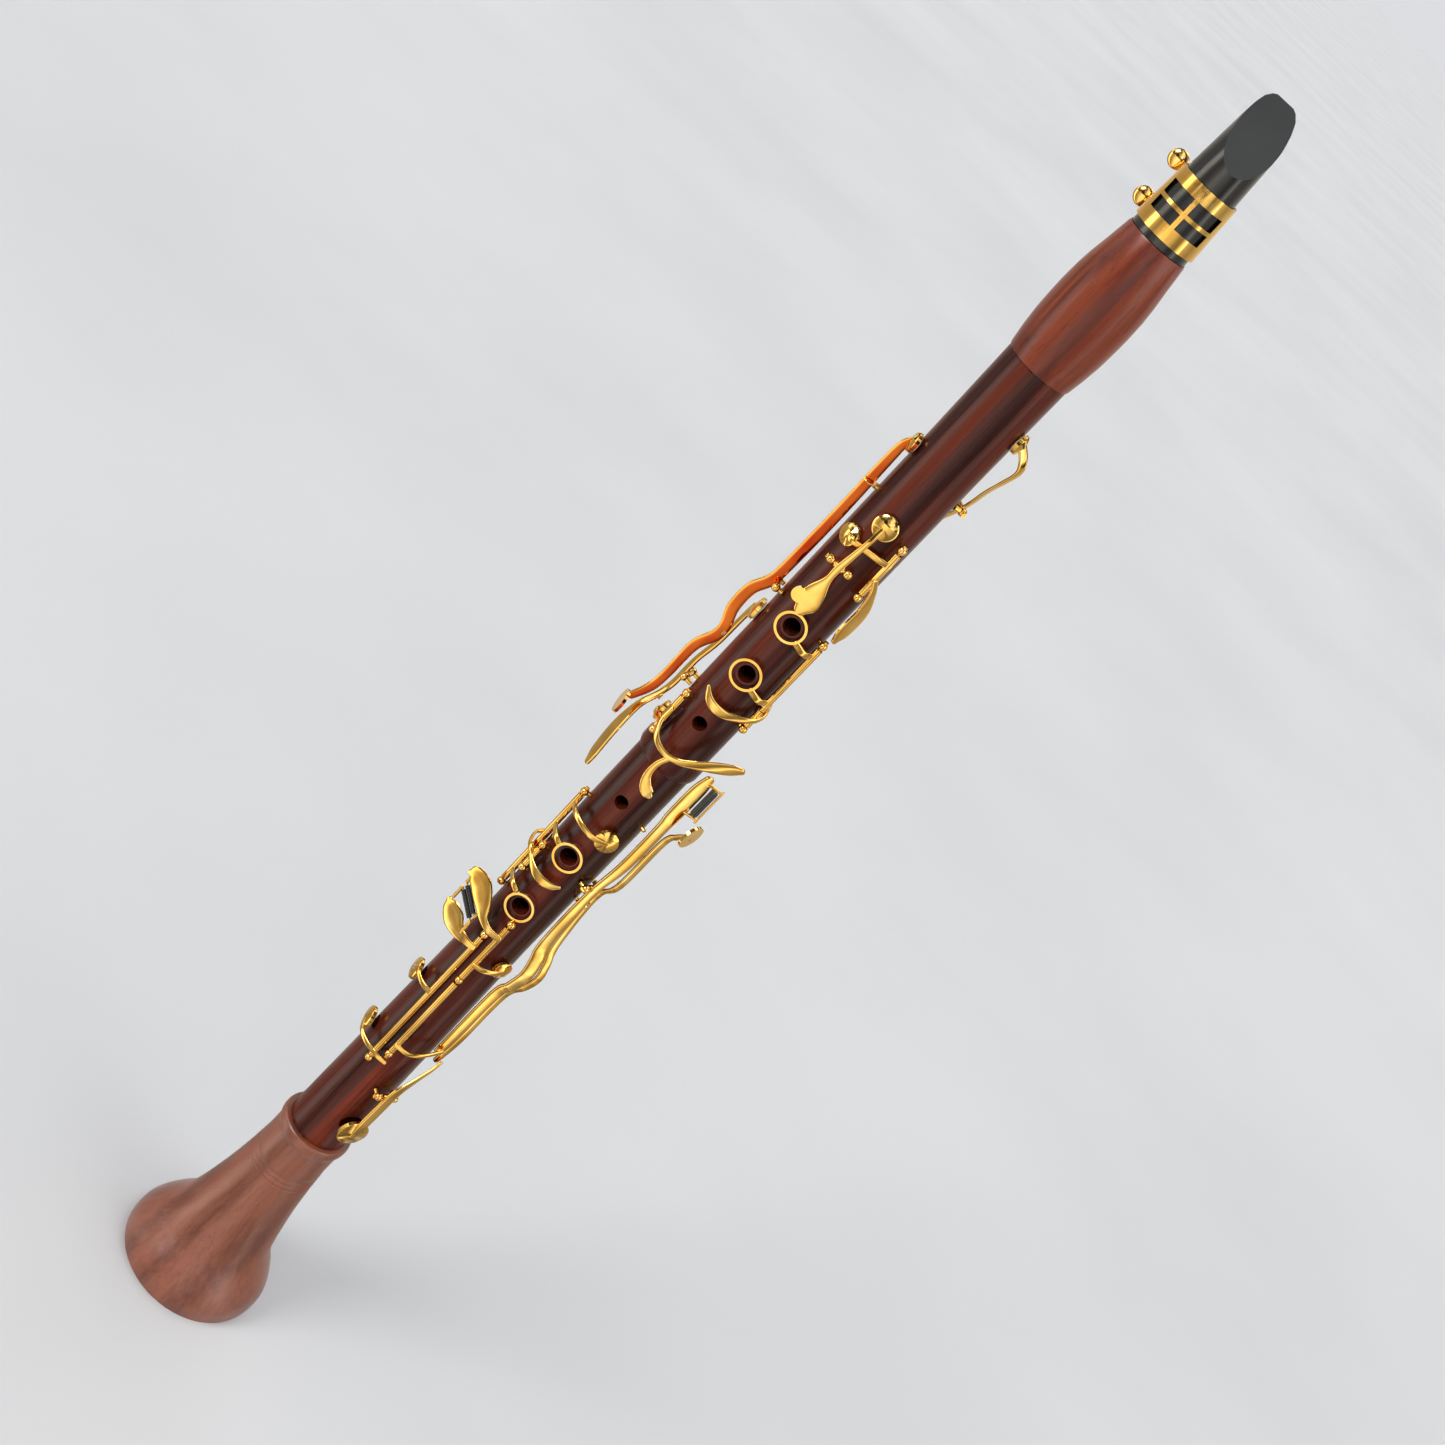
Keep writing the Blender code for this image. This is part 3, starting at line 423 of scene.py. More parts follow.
def wood(name, dark, middle, light, patch, gloss, coat, shine):
    """Turned rosewood: flat-sawn figure, fine streaks up the bore, broad bands of tone and a thin polish."""
    look = Look(name, Coat_Weight=coat, Coat_Roughness=gloss - 0.08, IOR=shine)
    figure = look.rings((17.0, 7.0, 1.3), 3.4)
    streaks = look.noise((330.0, 330.0, 4.5), 6.0, 0.66, 0.4)
    bands = look.noise((60.0, 60.0, 4.0), 3.0, 0.5, 0.8)
    grain = look.ramp(look.blend(figure, streaks, 0.72), (0.3, tone(dark)), (0.48, tone(middle)), (0.68, tone(light)))
    glow = look.ramp(streaks, (0.36, tone(middle)), (0.64, tone(patch)))
    share = look.ramp(bands, (0.5, 0.0), (0.72, 0.8))
    pores = look.noise((2400.0, 2400.0, 60.0), 2.0, 0.5)
    look.colour(look.layered(look.mix(share, grain, glow), look.ramp(pores, (0.3, 0.6), (0.4, 1.0))))
    look.roughness(streaks, gloss - 0.05, gloss + 0.07)
    look.bump((streaks, 0.00003), (pores, 0.00003))
    return look.material


def polish(look):
    """The fine rubbing marks and slight waviness of polished plate."""
    haze = look.noise((90.0, 90.0, 60.0), 3.0, 0.6)
    rubbing = look.noise((2600.0, 2600.0, 500.0), 3.0, 0.6, turn=(0.4, 0.3, 0.0))
    look.roughness(rubbing, 0.05, 0.11)
    look.bump((haze, 0.00003))
    return look.ramp(haze, (0.3, tone("ecb352")), (0.55, tone("f5c66a")), (0.8, tone("fbd88c")))


def gold():
    look = Look("polished_gold", Metallic=1.0)
    look.colour(polish(look))
    return look.material


def gold_painted_reflection():
    """Gold with a painted reflection: its faces turned to the front and right are tinted copper red, as on the long
    trill lever.
    """
    look = Look("gold_painted_copper_reflection", Metallic=1.0)
    plate = polish(look)
    painted_reflection_facing = look.tree.nodes.new("ShaderNodeVectorMath")
    painted_reflection_facing.operation = "DOT_PRODUCT"
    painted_reflection_facing.inputs[1].default_value = (0.75, -0.66, 0.0)
    look.tree.links.new(look.tree.nodes.new("ShaderNodeTexCoord").outputs["Normal"], painted_reflection_facing.inputs[0])
    # Painted reflection: faces turned to the front and right get a mottled copper red, and the edges stay gold.
    share = look.ramp(painted_reflection_facing.outputs["Value"], (0.58, 0.0), (0.76, 1.0))
    painted_reflection_mottle = look.noise((70.0, 70.0, 30.0), 2.0)
    look.colour(look.mix(share, plate, look.ramp(painted_reflection_mottle, (0.35, tone("c8401c")), (0.65, tone("ec7a30")))))
    return look.material


def ebonite(name, gloss):
    look = Look(name, IOR=1.6, Coat_Weight=0.25, Coat_Roughness=0.05)
    haze = look.noise((70.0, 70.0, 40.0), 4.0, 0.6)
    scuffs = look.noise((1800.0, 1800.0, 260.0), 3.0, 0.6, turn=(0.0, 0.6, 0.3))
    look.colour(look.ramp(haze, (0.3, tone("0c0e0e")), (0.6, tone("141717")), (0.85, tone("1c2020"))))
    look.roughness(scuffs, gloss, gloss + 0.1)
    look.bump((haze, 0.00004))
    return look.material


def cork_look():
    look = Look("cork_bark", Roughness=0.85)
    grains = look.cells((900.0, 900.0, 700.0))
    specks = look.noise((1500.0, 1500.0, 1100.0), 3.0)
    tan = look.ramp(grains, (0.1, tone("a97b48")), (0.5, tone("c49a63")), (0.9, tone("d6b381")))
    look.colour(look.layered(tan, look.ramp(specks, (0.32, tone("6e4322")), (0.42, tone("ffffff")))))
    look.bump((grains, 0.00012), (specks, 0.00008))
    return look.material


def leather_look():
    look = Look("pad_skin", Roughness=0.6, Sheen_Weight=0.2)
    grain = look.cells((1600.0, 1600.0, 1600.0), "SMOOTH_F1")
    stain = look.noise((160.0, 160.0, 160.0), 3.0)
    look.colour(look.ramp(stain, (0.3, tone("c9ae86")), (0.7, tone("e0cba6"))))
    look.roughness(stain, 0.5, 0.68)
    look.bump((grain, 0.00005))
    return look.material


def cane_look():
    look = Look("reed_cane", Roughness=0.55)
    fibres = look.noise((1700.0, 900.0, 16.0), 4.0, 0.6)
    age = look.noise((60.0, 60.0, 25.0), 2.0)
    straw = look.ramp(fibres, (0.3, tone("b98e4c")), (0.55, tone("d9b878")), (0.75, tone("e9d09a")))
    look.colour(look.layered(straw, look.ramp(age, (0.3, tone("d8c49a")), (0.7, tone("ffffff")))))
    look.bump((fibres, 0.00005))
    return look.material


def blued_steel():
    look = Look("blued_steel", Metallic=1.0)
    temper = look.noise((300.0, 300.0, 120.0), 3.0)
    look.colour(look.ramp(temper, (0.3, tone("2c3a5c")), (0.7, tone("4a5a86"))))
    look.roughness(temper, 0.22, 0.34)
    return look.material


def backdrop():
    look = Look("floor", Roughness=0.75, Specular_IOR_Level=0.0)
    drift = look.noise((1.6, 1.6, 1.6), 3.0)
    look.colour(look.ramp(drift, (0.3, tone("ced0d3")), (0.7, tone("d7d8da"))))
    return look.material


LOOKS.update({
    "rosewood": wood("dark_rosewood", "260a07", "47170e", "622411", "8a3214", 0.27, 0.06, 1.33),
    "light_rosewood": wood("bell_rosewood", "6a3524", "804630", "915440", "96502f", 0.4, 0.6, 1.42),
    "barrel_rosewood": wood("barrel_rosewood", "521a0b", "6c2611", "823312", "a44a17", 0.32, 0.2, 1.4),
    "gold": gold(),
    # Gold with a painted copper-red reflection on its front faces, for the long trill lever.
    "gold_painted_reflection": gold_painted_reflection(),
    "ebonite": ebonite("mouthpiece_ebonite", 0.12),
    "black": ebonite("roller_ebonite", 0.22),
    "cork": cork_look(),
    "leather": leather_look(),
    "cane": cane_look(),
    "steel": blued_steel(),
})


# Tube.


def body_radius(z):
    """Outer radius of the two main joints."""
    if z > LOWER_TOP:
        return UPPER_RADIUS
    share = min(max((z - BELL_TOP) / 164.0, 0.0), 1.0)
    return LOWER_BOTTOM_RADIUS + (LOWER_RADIUS - LOWER_BOTTOM_RADIUS) * share


def tenon(shoulder, way):
    """Outer profile points of a tenon with its cork groove, from the shoulder to the end."""
    radius = TENON_RADIUS
    groove = radius - GROOVE_DEPTH
    return [(radius, shoulder + way * 0.01), (radius, shoulder + way * 4.0), (groove, shoulder + way * 4.0),
            (groove, shoulder + way * 14.0), (radius, shoulder + way * 14.0),
            (radius, shoulder + way * TENON_LENGTH)]


def cork(name, shoulder, way, inner=TENON_RADIUS - GROOVE_DEPTH, outer=CORK_RADIUS):
    near, far = shoulder + way * (4.0 + GAP), shoulder + way * (14.0 - GAP)
    low, high = min(near, far), max(near, far)
    inner += GAP
    profile = [(inner, high), (outer, high), (outer, low), (inner, low)]
    return finish(name, [turned("cork", profile, 64, closed=True)], LOOKS["cork"])


def hole(angle, z, radius, side=0.0):
    """Cutter from the bore out through the wall."""
    start = polar(1.0, angle, z) + around(angle) * side
    return bar("hole", start, start + outward(angle) * 20.0, radius, CUP_SIDES)


def chimney(z, side):
    start = polar(12.0, 0.0, z) + around(0.0) * side
    return bar("chimney", start, start + outward(0.0) * (CHIMNEY_TOP - 12.0), CHIMNEY_RADIUS, CUP_SIDES)


def bell():
    outside = [(19.4, 126.0), (20.0, 125.4), (20.3, 124.0), (20.3, 122.0), (20.0, 120.4), (19.4, 119.2)]
    outside += [(18.95, 117.0), (18.9, 108.0), (19.05, 103.0)]
    for z in GROOVES:
        wall = 19.05 + (103.0 - z) * 0.073
        outside += [(wall, z + 0.9), (wall - 0.5, z), (wall, z - 0.9)]
    outside += [(20.0, 89.8), (21.4, 76.0), (23.1, 63.0), (25.5, 48.0), (28.2, 35.0), (32.0, 27.0), (36.4, 20.0),
                (40.2, 12.5), (41.5, 8.8), (RIM_RADIUS, 6.5), (RIM_RADIUS, 4.4), (41.5, 2.0), (41.0, 0.0)]
    inside = [(39.0, 0.0), (33.0, 8.0), (26.0, 17.0), (19.0, 31.0), (14.0, 53.0), (11.0, 82.0), (9.8, 106.0),
              (BELL_SOCKET_RADIUS, 106.0), (BELL_SOCKET_RADIUS, 126.0)]
    return finish("bell", [turned("tube", outside + inside, closed=True)], LOOKS["light_rosewood"])


def lower_joint():
    low, high = BELL_TOP + GAP, LOWER_TOP
    outside = [(BORE, high + TENON_LENGTH)] + tenon(high, 1.0)[::-1]
    outside += [(14.6, high), (14.9, high - 1.0), (14.9, 400.0), (LOWER_RADIUS, 290.0)]
    outside.append((LOWER_BOTTOM_RADIUS, low))
    spigot, neck = BELL_TENON_RADIUS - GAP, BELL_TENON_RADIUS - 1.0
    outside += [(spigot, low), (spigot, low - 4.0), (neck, low - 4.0), (neck, low - 14.0),
                (spigot, low - 14.0),
                (spigot, low - 19.0)]
    inside = [(9.6, low - 19.0), (8.2, 150.0), (BORE, 210.0)]
    pieces = [turned("tube", outside + inside, closed=True)]
    cuts = []
    for z, side, radius, ringed in LOWER_HOLES:
        if ringed:
            pieces.append(chimney(z, side))
        cuts.append(hole(0.0, z, radius, side))
    cuts += [hole(angle, z, radius) for angle, z, radius in LOWER_PAD_HOLES]
    return finish("lower_joint", pieces, LOOKS["rosewood"], cuts)


def upper_joint():
    low, high = LOWER_TOP + GAP, UPPER_TOP
    outside = [(BORE, high + TENON_LENGTH)] + tenon(high, 1.0)[::-1]
    outside += [(15.3, high), (15.45, high - 1.0), (15.0, 609.0), (15.0, 430.0), (15.6, 427.3),
                (16.3, 425.5),
                (16.3, 420.5), (15.6, low)]
    inside = [(SOCKET_RADIUS, low), (SOCKET_RADIUS, low + TENON_LENGTH + 1.0),
              (BORE, low + TENON_LENGTH + 1.0)]
    pieces = [turned("tube", outside + inside, closed=True)]
    cuts = []
    for z, side, radius, ringed in UPPER_HOLES:
        if ringed:
            pieces.append(chimney(z, side))
        cuts.append(hole(0.0, z, radius, side))
    cuts += [hole(angle, z, radius) for angle, z, radius in UPPER_PAD_HOLES]
    return finish("upper_joint", pieces, LOOKS["rosewood"], cuts)


def barrel():
    low = UPPER_TOP + GAP
    outside = [(14.4, 736.0), (14.8, 735.0), (16.2, 724.0), (17.4, 716.0), (18.1, 709.0), (18.4, 700.0),
               (18.35, 693.0), (18.0, 684.0), (17.2, 676.0), (16.1, 668.5), (15.8, low)]
    inside = [(SOCKET_RADIUS, low), (SOCKET_RADIUS, low + 19.5), (BORE, low + 19.5),
              (BORE, BARREL_TOP - 19.5),
              (SOCKET_RADIUS, BARREL_TOP - 19.5), (SOCKET_RADIUS, BARREL_TOP)]
    return finish("barrel", [turned("tube", outside + inside, closed=True)], LOOKS["barrel_rosewood"])


MOUTHPIECE_BASE = 14.15
MOUTHPIECE_STATIONS = ((BARREL_TOP + GAP, MOUTHPIECE_BASE, MOUTHPIECE_BASE), (752.0, 13.3, 13.3),
                       (770.0, 12.2, 12.2),
                       (782.0, 11.5, 13.0), (792.0, 10.9, 13.4), (799.0, 10.2, 13.4), (803.0, 9.5, 13.4),
                       (805.2, 7.8, 13.4), (TIP, 5.8, 13.4))
TABLE_Y = 9.8
BEAK_BASE = 775.0
BEAK_TIP_Y = 8.9
BEAK_TURN = 12.0


def turned_beak(things):
    """The shapes of the mouthpiece, turned a little on the bore."""
    for thing in things:
        thing.data.transform(Matrix.Rotation(math.radians(BEAK_TURN), 4, "Z"))
    return things


def mouthpiece():
    low = BARREL_TOP + GAP
    blank = loft("blank", [(Vector((0, 0, z)), Vector((wide, 0, 0)), Vector((0, deep, 0)))
                                for z, wide, deep in MOUTHPIECE_STATIONS], 1.0, TUBE_SIDES)
    stub = [(0.0, low + 1.0), (TENON_RADIUS, low + 1.0)] + tenon(low, -1.0) + [(0.0, low - TENON_LENGTH)]
    slope = Vector((0.0, BEAK_TIP_Y + 12.2, TIP - BEAK_BASE))
    middle = Vector((0.0, -12.2, BEAK_BASE)) + slope / 2.0
    normal = Vector((0.0, -slope.z, slope.y)).normalized()
    face = block("beak_cut", (-30, -40, 0), (30, 40, 30))
    face.data.transform(Matrix.Translation(middle * MM) @ normal.to_track_quat("Z",
                                                                               "Y").to_matrix().to_4x4())
    cuts = [face, block("table_cut", (-30, TABLE_Y, low + 1.2), (30, 40, TIP + 5.0)),
            bar("bore", (0, 0, low - 30.0), (0, 0, 771.0), 7.2, 20),
            block("chamber", (-5.2, -1.0, 765.0), (5.2, 20.0, 785.0)),
            block("window", (-5.2, 7.2, 784.0), (5.2, 20.0, 801.5))]
    pieces = turned_beak([blank, turned("stub", stub)])
    return finish("mouthpiece", pieces, LOOKS["ebonite"], turned_beak(cuts))


def reed():
    back = TABLE_Y + GAP
    stations = ((738.5, 5.2, 1.8), (770.0, 5.6, 1.8), (778.0, 6.0, 1.6), (795.0, 6.4, 0.9),
                (803.0, 6.4, 0.5),
                (804.8, 5.0, 0.4))
    sections = [(Vector((0, back + deep / 2.0, z)), Vector((wide, 0, 0)), Vector((0, deep / 2.0, 0)))
                for z, wide, deep in stations]
    return finish("reed", turned_beak([loft("blade", sections, 0.5, 24)]), LOOKS["cane"])


BAND_LOW, BAND_HIGH = 739.5, 765.2
BAND_WALL = 0.95
BAND_TAPER = 0.055
SCREW_Y = 16.6
SCREW_HEIGHTS = (("ligature_screw_lower", 742.6), ("ligature_screw_upper", 762.2))


def ligature():
    low, high = (MOUTHPIECE_BASE - (z - BARREL_TOP) * BAND_TAPER + GAP for z in (BAND_LOW, BAND_HIGH))
    shell = [(low, BAND_LOW), (high, BAND_HIGH), (high + BAND_WALL, BAND_HIGH), (low + BAND_WALL, BAND_LOW)]
    pieces = [turned("shell", shell, closed=True)]
    for _, z in SCREW_HEIGHTS:
        for x in (-5.5, 3.5):
            pieces.append(block("ear", (x, 12.6, z - 2.6), (x + 2.0, 19.2, z + 2.6)))
    cuts = [bar("ear_hole", (-12, SCREW_Y, z), (12, SCREW_Y, z), 1.3) for _, z in SCREW_HEIGHTS]
    for bottom, top in ((745.7, 751.2), (752.9, 759.3)):
        for left in (-12.5, 1.0):
            cuts.append(block("window", (left, -20.0, bottom), (left + 11.5, -3.0, top)))
    return finish("ligature", pieces, LOOKS["gold"], cuts)


def ligature_screw(name, z):
    shank = bar("shank", (-14.5, SCREW_Y, z), (6.5, SCREW_Y, z), 1.0)
    crown = [(0.0, 1.5), (1.8, 1.4), (3.2, 1.0), (4.1, 0.45), (4.4, 0.0)]
    profile = crown + [(radius, -height) for radius, height in crown[-2::-1]]
    paddle = turned("paddle", profile, CUP_SIDES, place((-17.3, SCREW_Y, z), (0, -1, 0)))
    return finish(name, [paddle, shank], LOOKS["gold"])


def thumb_rest():
    plate = strap("plate", [((0, 15.9, 317), 10.0), ((0, 15.9, 345), 10.0)], 1.2)
    hook = strap("hook", [((0, 15.8, 322), 12.0), ((0, 20.0, 321), 13.0), ((0, 26.0, 321), 13.0),
                          ((0, 29.5, 323.5), 11.0)], 2.0, (0, 0, -1))
    return finish("thumb_rest", [plate, hook], LOOKS["gold"])


# Keywork.

# Hinges along the tube: radius, angle, lower post, upper post.
LONG_HINGES = {
    "g_sharp": (18.8, 39.0, 545.0, 574.0),
    "upper_ring": (18.3, 60.0, 460.0, 515.5),
    "c_sharp": (18.3, -48.0, 430.5, 455.0),
    "lower_ring": (18.6, -66.0, 313.5, 380.0),
    "lower_crescent": (18.6, -49.0, 330.0, 346.5),
    "rod_a": (19.0, -14.5, 192.5, 292.0),
    "rod_b": (19.0, 4.0, 203.0, 306.5),
}
MIDDLE_POST = 263.3
# Hinges across the tube: radius, angle, height.
CROSS_HINGES = {
    "register": (19.5, 125.0, 598.0),
    "throat_a": (19.2, 0.0, 551.0),
    "trill_1": (18.4, -78.0, 520.0),
    "trill_2": (19.4, -95.0, 456.0),
    "fs_cs_lever": (18.4, 66.0, 345.0),
    "eb_lever": (19.6, 94.0, 333.0),
    "eb_pad": (20.8, 49.0, 178.0),
}
THROAT_SHIFT = -2.85
CROSS_HALF = 5.0
SLEEVE_HALF = 2.4
END_GAP = 0.4

# Cups: angle, height, cup radius, height of the open pad over the wood.
CUPS = {
    "register": (80.0, 639.0, 5.0, 0.0),
    "throat_a": (0.0, 577.0, 6.0, 0.0),
    "g_sharp": (-33.0, 563.0, 5.2, 0.0),
    "trill_1": (-74.0, 609.0, 5.0, 0.0),
    "trill_2": (-84.0, 504.0, 5.8, 0.0),
    "upper_crescent": (84.0, 471.0, 4.2, 0.0),
    "c_sharp": (-90.0, 434.5, 5.6, 0.0),
    "lower_ring": (21.0, 374.0, 5.9, 1.5),
    "lower_crescent": (-90.0, 345.0, 4.2, 0.0),
    "f_c_upper": (-68.0, 243.0, 6.0, 2.0),
    "f_c_lower": (-68.0, 202.0, 6.3, 2.0),
    "ab_eb": (50.0, 279.0, 5.2, 0.0),
    "e_b": (45.0, 149.0, 8.2, 3.3),
}
UPPER_PAD_HOLES = [(CUPS[name][0], CUPS[name][1], CUPS[name][2] - 2.4)
                   for name in ("throat_a", "g_sharp", "trill_1", "trill_2", "upper_crescent")]
UPPER_PAD_HOLES += [(80.0, 639.0, 1.6), (180.0, 528.0, 4.2)]
LOWER_PAD_HOLES = [(CUPS[name][0], CUPS[name][1], CUPS[name][2] - 2.4)
                   for name in ("lower_ring", "lower_crescent", "f_c_upper", "f_c_lower", "ab_eb", "e_b")]


def pad_height(name):
    _, z, _, lift = CUPS[name]
    return body_radius(z) + FOOT_GAP + lift


def cup_top(name, over=3.1):
    angle, z, _, _ = CUPS[name]
    return polar(pad_height(name) + over, angle, z)


def cup(name):
    angle, z, radius, _ = CUPS[name]
    profile = [(0.0, 4.0), (radius - 0.6, 2.8), (radius, 2.3), (radius, PAD_STANDS_OUT),
               (radius - 0.7, PAD_STANDS_OUT), (radius - 0.7, PAD_THICKNESS + GAP),
               (0.0, PAD_THICKNESS + GAP)]
    return turned("cup", profile, CUP_SIDES, place(polar(pad_height(name), angle, z), outward(angle)))


def pad(name):
    angle, z, radius, _ = CUPS[name]
    low = polar(pad_height(name), angle, z)
    made = bar("disc", low, low + outward(angle) * PAD_THICKNESS, radius - 1.0, CUP_SIDES)
    return finish(name + "_pad", [made], LOOKS["leather"])


def ball(point):
    body = bmesh.new()
    bmesh.ops.create_uvsphere(body, u_segments=24, v_segments=16, radius=BALL_RADIUS)
    mesh = bpy.data.meshes.new("ball")
    body.to_mesh(mesh)
    body.free()
    return as_object("ball", mesh, Matrix.Translation(point))


def long_hinge(name):
    """Two ball posts and the steel between them, along the tube."""
    radius, angle, low, high = LONG_HINGES[name]
    pieces = [bar("steel", polar(radius, angle, low), polar(radius, angle, high), STEEL_RADIUS, 12)]
    for z in (low, high, MIDDLE_POST) if name == "rod_b" else (low, high):
        pieces.append(ball(polar(radius, angle, z)))
        foot = polar(body_radius(z) + FOOT_GAP, angle, z)
        pieces.append(bar("stem", polar(radius, angle, z), foot, STEM_RADIUS, 16))
    return finish(name + "_posts", pieces, LOOKS["gold"])


def cross_centre(name):
    radius, angle, z = CROSS_HINGES[name]
    centre = polar(radius, angle, z)
    if name == "throat_a":
        centre.x = THROAT_SHIFT
    return centre


def cross_hinge(name):
    """Two ball posts and the steel between them, across the tube."""
    radius, angle, z = CROSS_HINGES[name]
    centre = cross_centre(name)
    along = around(angle) * CROSS_HALF
    pieces = [bar("steel", centre - along, centre + along, STEEL_RADIUS, 12)]
    foot = math.sqrt((body_radius(z) + FOOT_GAP) ** 2 - (CROSS_HALF - STEM_RADIUS) ** 2)
    if name == "throat_a":
        foot = body_radius(z) + FOOT_GAP
    for end in (centre - along, centre + along):
        pieces.append(ball(end))
        pieces.append(bar("stem", end, end - outward(angle) * (radius - foot), STEM_RADIUS, 16))
    return finish(name + "_posts", pieces, LOOKS["gold"])


def long_sleeve(name, low=None, high=None):
    """Sleeve on a hinge along the tube, and the cutter of its bore."""
    radius, angle, bottom, top = LONG_HINGES[name]
    low = low or bottom + BALL_RADIUS + END_GAP
    high = high or top - BALL_RADIUS - END_GAP
    sleeve = bar("sleeve", polar(radius, angle, low), polar(radius, angle, high), SLEEVE_RADIUS)
    return sleeve, bar("bore", polar(radius, angle, low - 2.0), polar(radius, angle, high + 2.0),
                       SLEEVE_BORE)


def cross_sleeve(name):
    angle = CROSS_HINGES[name][1]
    centre, half = cross_centre(name), around(angle) * SLEEVE_HALF
    sleeve = bar("sleeve", centre - half, centre + half, SLEEVE_RADIUS)
    return sleeve, bar("bore", centre - half * 1.5, centre + half * 1.5, SLEEVE_BORE)


def key(name, sleeve_pair, pieces, look="gold"):
    sleeve, bore = sleeve_pair
    return finish(name, [sleeve, *pieces], LOOKS[look], [bore])


def disc(name, centre, normal, radius, thickness=1.6, sides=CUP_SIDES):
    centre, half = Vector(centre), Vector(normal).normalized() * thickness / 2.0
    return bar(name, centre - half, centre + half, radius, sides)


def register_key():
    arm = [(cup_top("register"), 4.4), ((22.4, -2.0, 634.5), 4.8), ((24.4, -0.4, 629), 5.0),
           ((22.4, 3.0, 620), 4.8), ((20.4, 6.4, 612), 4.4), ((17.9, 12.6, 598), 4.0),
           ((11.5, 18.0, 580), 3.6)]
    touch = [((11.5, 18.0, 580), 3.6), ((4.0, 20.8, 562), 4.0), ((0.0, 21.0, 553), 8.0),
             ((0.0, 21.0, 545), 9.0),
             ((0.0, 20.8, 541), 5.0)]
    return key("register_key", cross_sleeve("register"),
               [cup("register"), strap("arm", arm, 1.5, outward(60)), strap("touch", touch)])


def throat_a_key():
    path = [(cup_top("throat_a"), 2.6), ((-1.0, -20.6, 566), 2.6), ((-2.6, -21.0, 551), 3.4),
            ((-2.6, -21.0, 544), 3.6), ((-2.5, -21.0, 536), 9.0), ((-2.4, -21.0, 530), 11.0),
            ((-2.5, -20.8, 525), 6.0)]
    lobe = disc("lobe", (-7.2, -20.9, 530.0), (0, -1, 0), 3.6)
    return key("throat_a_key", cross_sleeve("throat_a"), [cup("throat_a"),
                                                          strap("arm", path, 1.5, (0, -1, 0)), lobe])


def g_sharp_key():
    arm = [(polar(19.6, 39, 565), 3.0), (polar(18.4, 24, 564.5), 3.0), (polar(17.4, 8, 564), 3.0),
           (polar(17.8, -8, 563.5), 3.0), (polar(19.0, -21, 563), 3.0), (cup_top("g_sharp"), 3.0)]
    touch = [((12.6, -15.6, 556), 3.0), ((15.5, -13.5, 550), 4.0), ((17.8, -10.2, 540), 8.0),
             ((18.1, -9.6, 532), 9.6), ((18.0, -9.6, 525), 8.0), ((17.8, -9.8, 521.5), 4.0)]
    return key("g_sharp_key", long_sleeve("g_sharp"),
               [cup("g_sharp"), strap("arm", arm), strap("touch", touch, 1.6, outward(58), BAR_POWER)])


def finger_ring(z, side):
    """Flat ring round a finger hole."""
    inner = RING_INNER
    profile = [(inner, RING_THICKNESS), (RING_OUTER, RING_THICKNESS), (RING_OUTER, 0.0), (inner, 0.0)]
    return turned("ring", profile, 64, place((side, -RING_HEIGHT + RING_THICKNESS / 2.0, z), (0, -1, 0)),
                  True)


def upper_ring_key():
    pieces = []
    for z, side, _, ringed in UPPER_HOLES:
        if ringed:
            pieces.append(finger_ring(z, side))
            arm = [((15.6, -9.8, z - 6.5), 3.4), ((12.0, -15.0, z - 6.0), 3.2), ((6.2, -17.2, z - 4.0), 3.2)]
            pieces.append(strap("arm", arm))
    return key("upper_ring_key", long_sleeve("upper_ring", low=475.0), pieces)


def upper_crescent_key():
    touch = [(polar(18.5, -27, 467), 2.0), (polar(18.5, -14, 463.4), 4.2), (polar(18.5, 2, 462.2), 5.0),
             (polar(18.5, 18, 462.8), 4.6), (polar(18.8, 35, 464.6), 3.6), (polar(19.8, 50, 466.5), 3.2),
             (polar(20.2, 61, 468.0), 3.0), (polar(19.8, 72, 470), 3.0), (cup_top("upper_crescent"), 3.0)]
    return key("upper_crescent_key", long_sleeve("upper_ring", high=472.5),
               [cup("upper_crescent"), strap("arm", touch)])


def trill_key_1():
    lever = [(cup_top("trill_1", 3.7), 2.4), ((-19.4, -5.2, 600), 4.6), ((-19.3, -4.8, 560), 5.4),
             ((-19.9, -4.6, 528), 5.4), ((-21.0, -4.6, 519), 5.8), ((-24.8, -4.8, 510), 6.0),
             ((-25.0, -4.8, 498), 6.0), ((-22.1, -4.6, 489), 5.6), ((-22.1, -4.6, 482), 5.6),
             ((-26.2, -4.8, 471), 5.2), ((-26.6, -4.8, 452), 4.6), ((-27.8, -6.0, 442), 4.6),
             ((-31.6, -8.0, 433), 3.8)]
    touch = disc("touch", (-33.0, -8.8, 428), outward(-75), 6.3)
    pieces = [cup("trill_1"), strap("lever", lever, 1.7, outward(12), BAR_POWER), touch]
    # The long trill lever is gold with a painted copper-red reflection on its front faces.
    return key("trill_key_1", cross_sleeve("trill_1"), pieces, "gold_painted_reflection")


def trill_key_2():
    lever = [(cup_top("trill_2"), 3.4), ((-18.9, 0.6, 494), 3.4), ((-19.4, 2.0, 478), 3.4),
             ((-21.2, 2.0, 465), 3.6),
             ((-21.5, 1.9, 456), 4.2), ((-21.7, 1.6, 447), 4.0), ((-23.4, -0.6, 439), 3.6),
             ((-26.4, -3.4, 430), 4.6),
             ((-27.4, -4.4, 415), 7.0), ((-26.6, -4.4, 398), 6.6), ((-25.8, -4.4, 391), 3.6)]
    return key("trill_key_2", cross_sleeve("trill_2"), [cup("trill_2"),
                                                        strap("lever", lever, 1.6, outward(-50), BAR_POWER)])


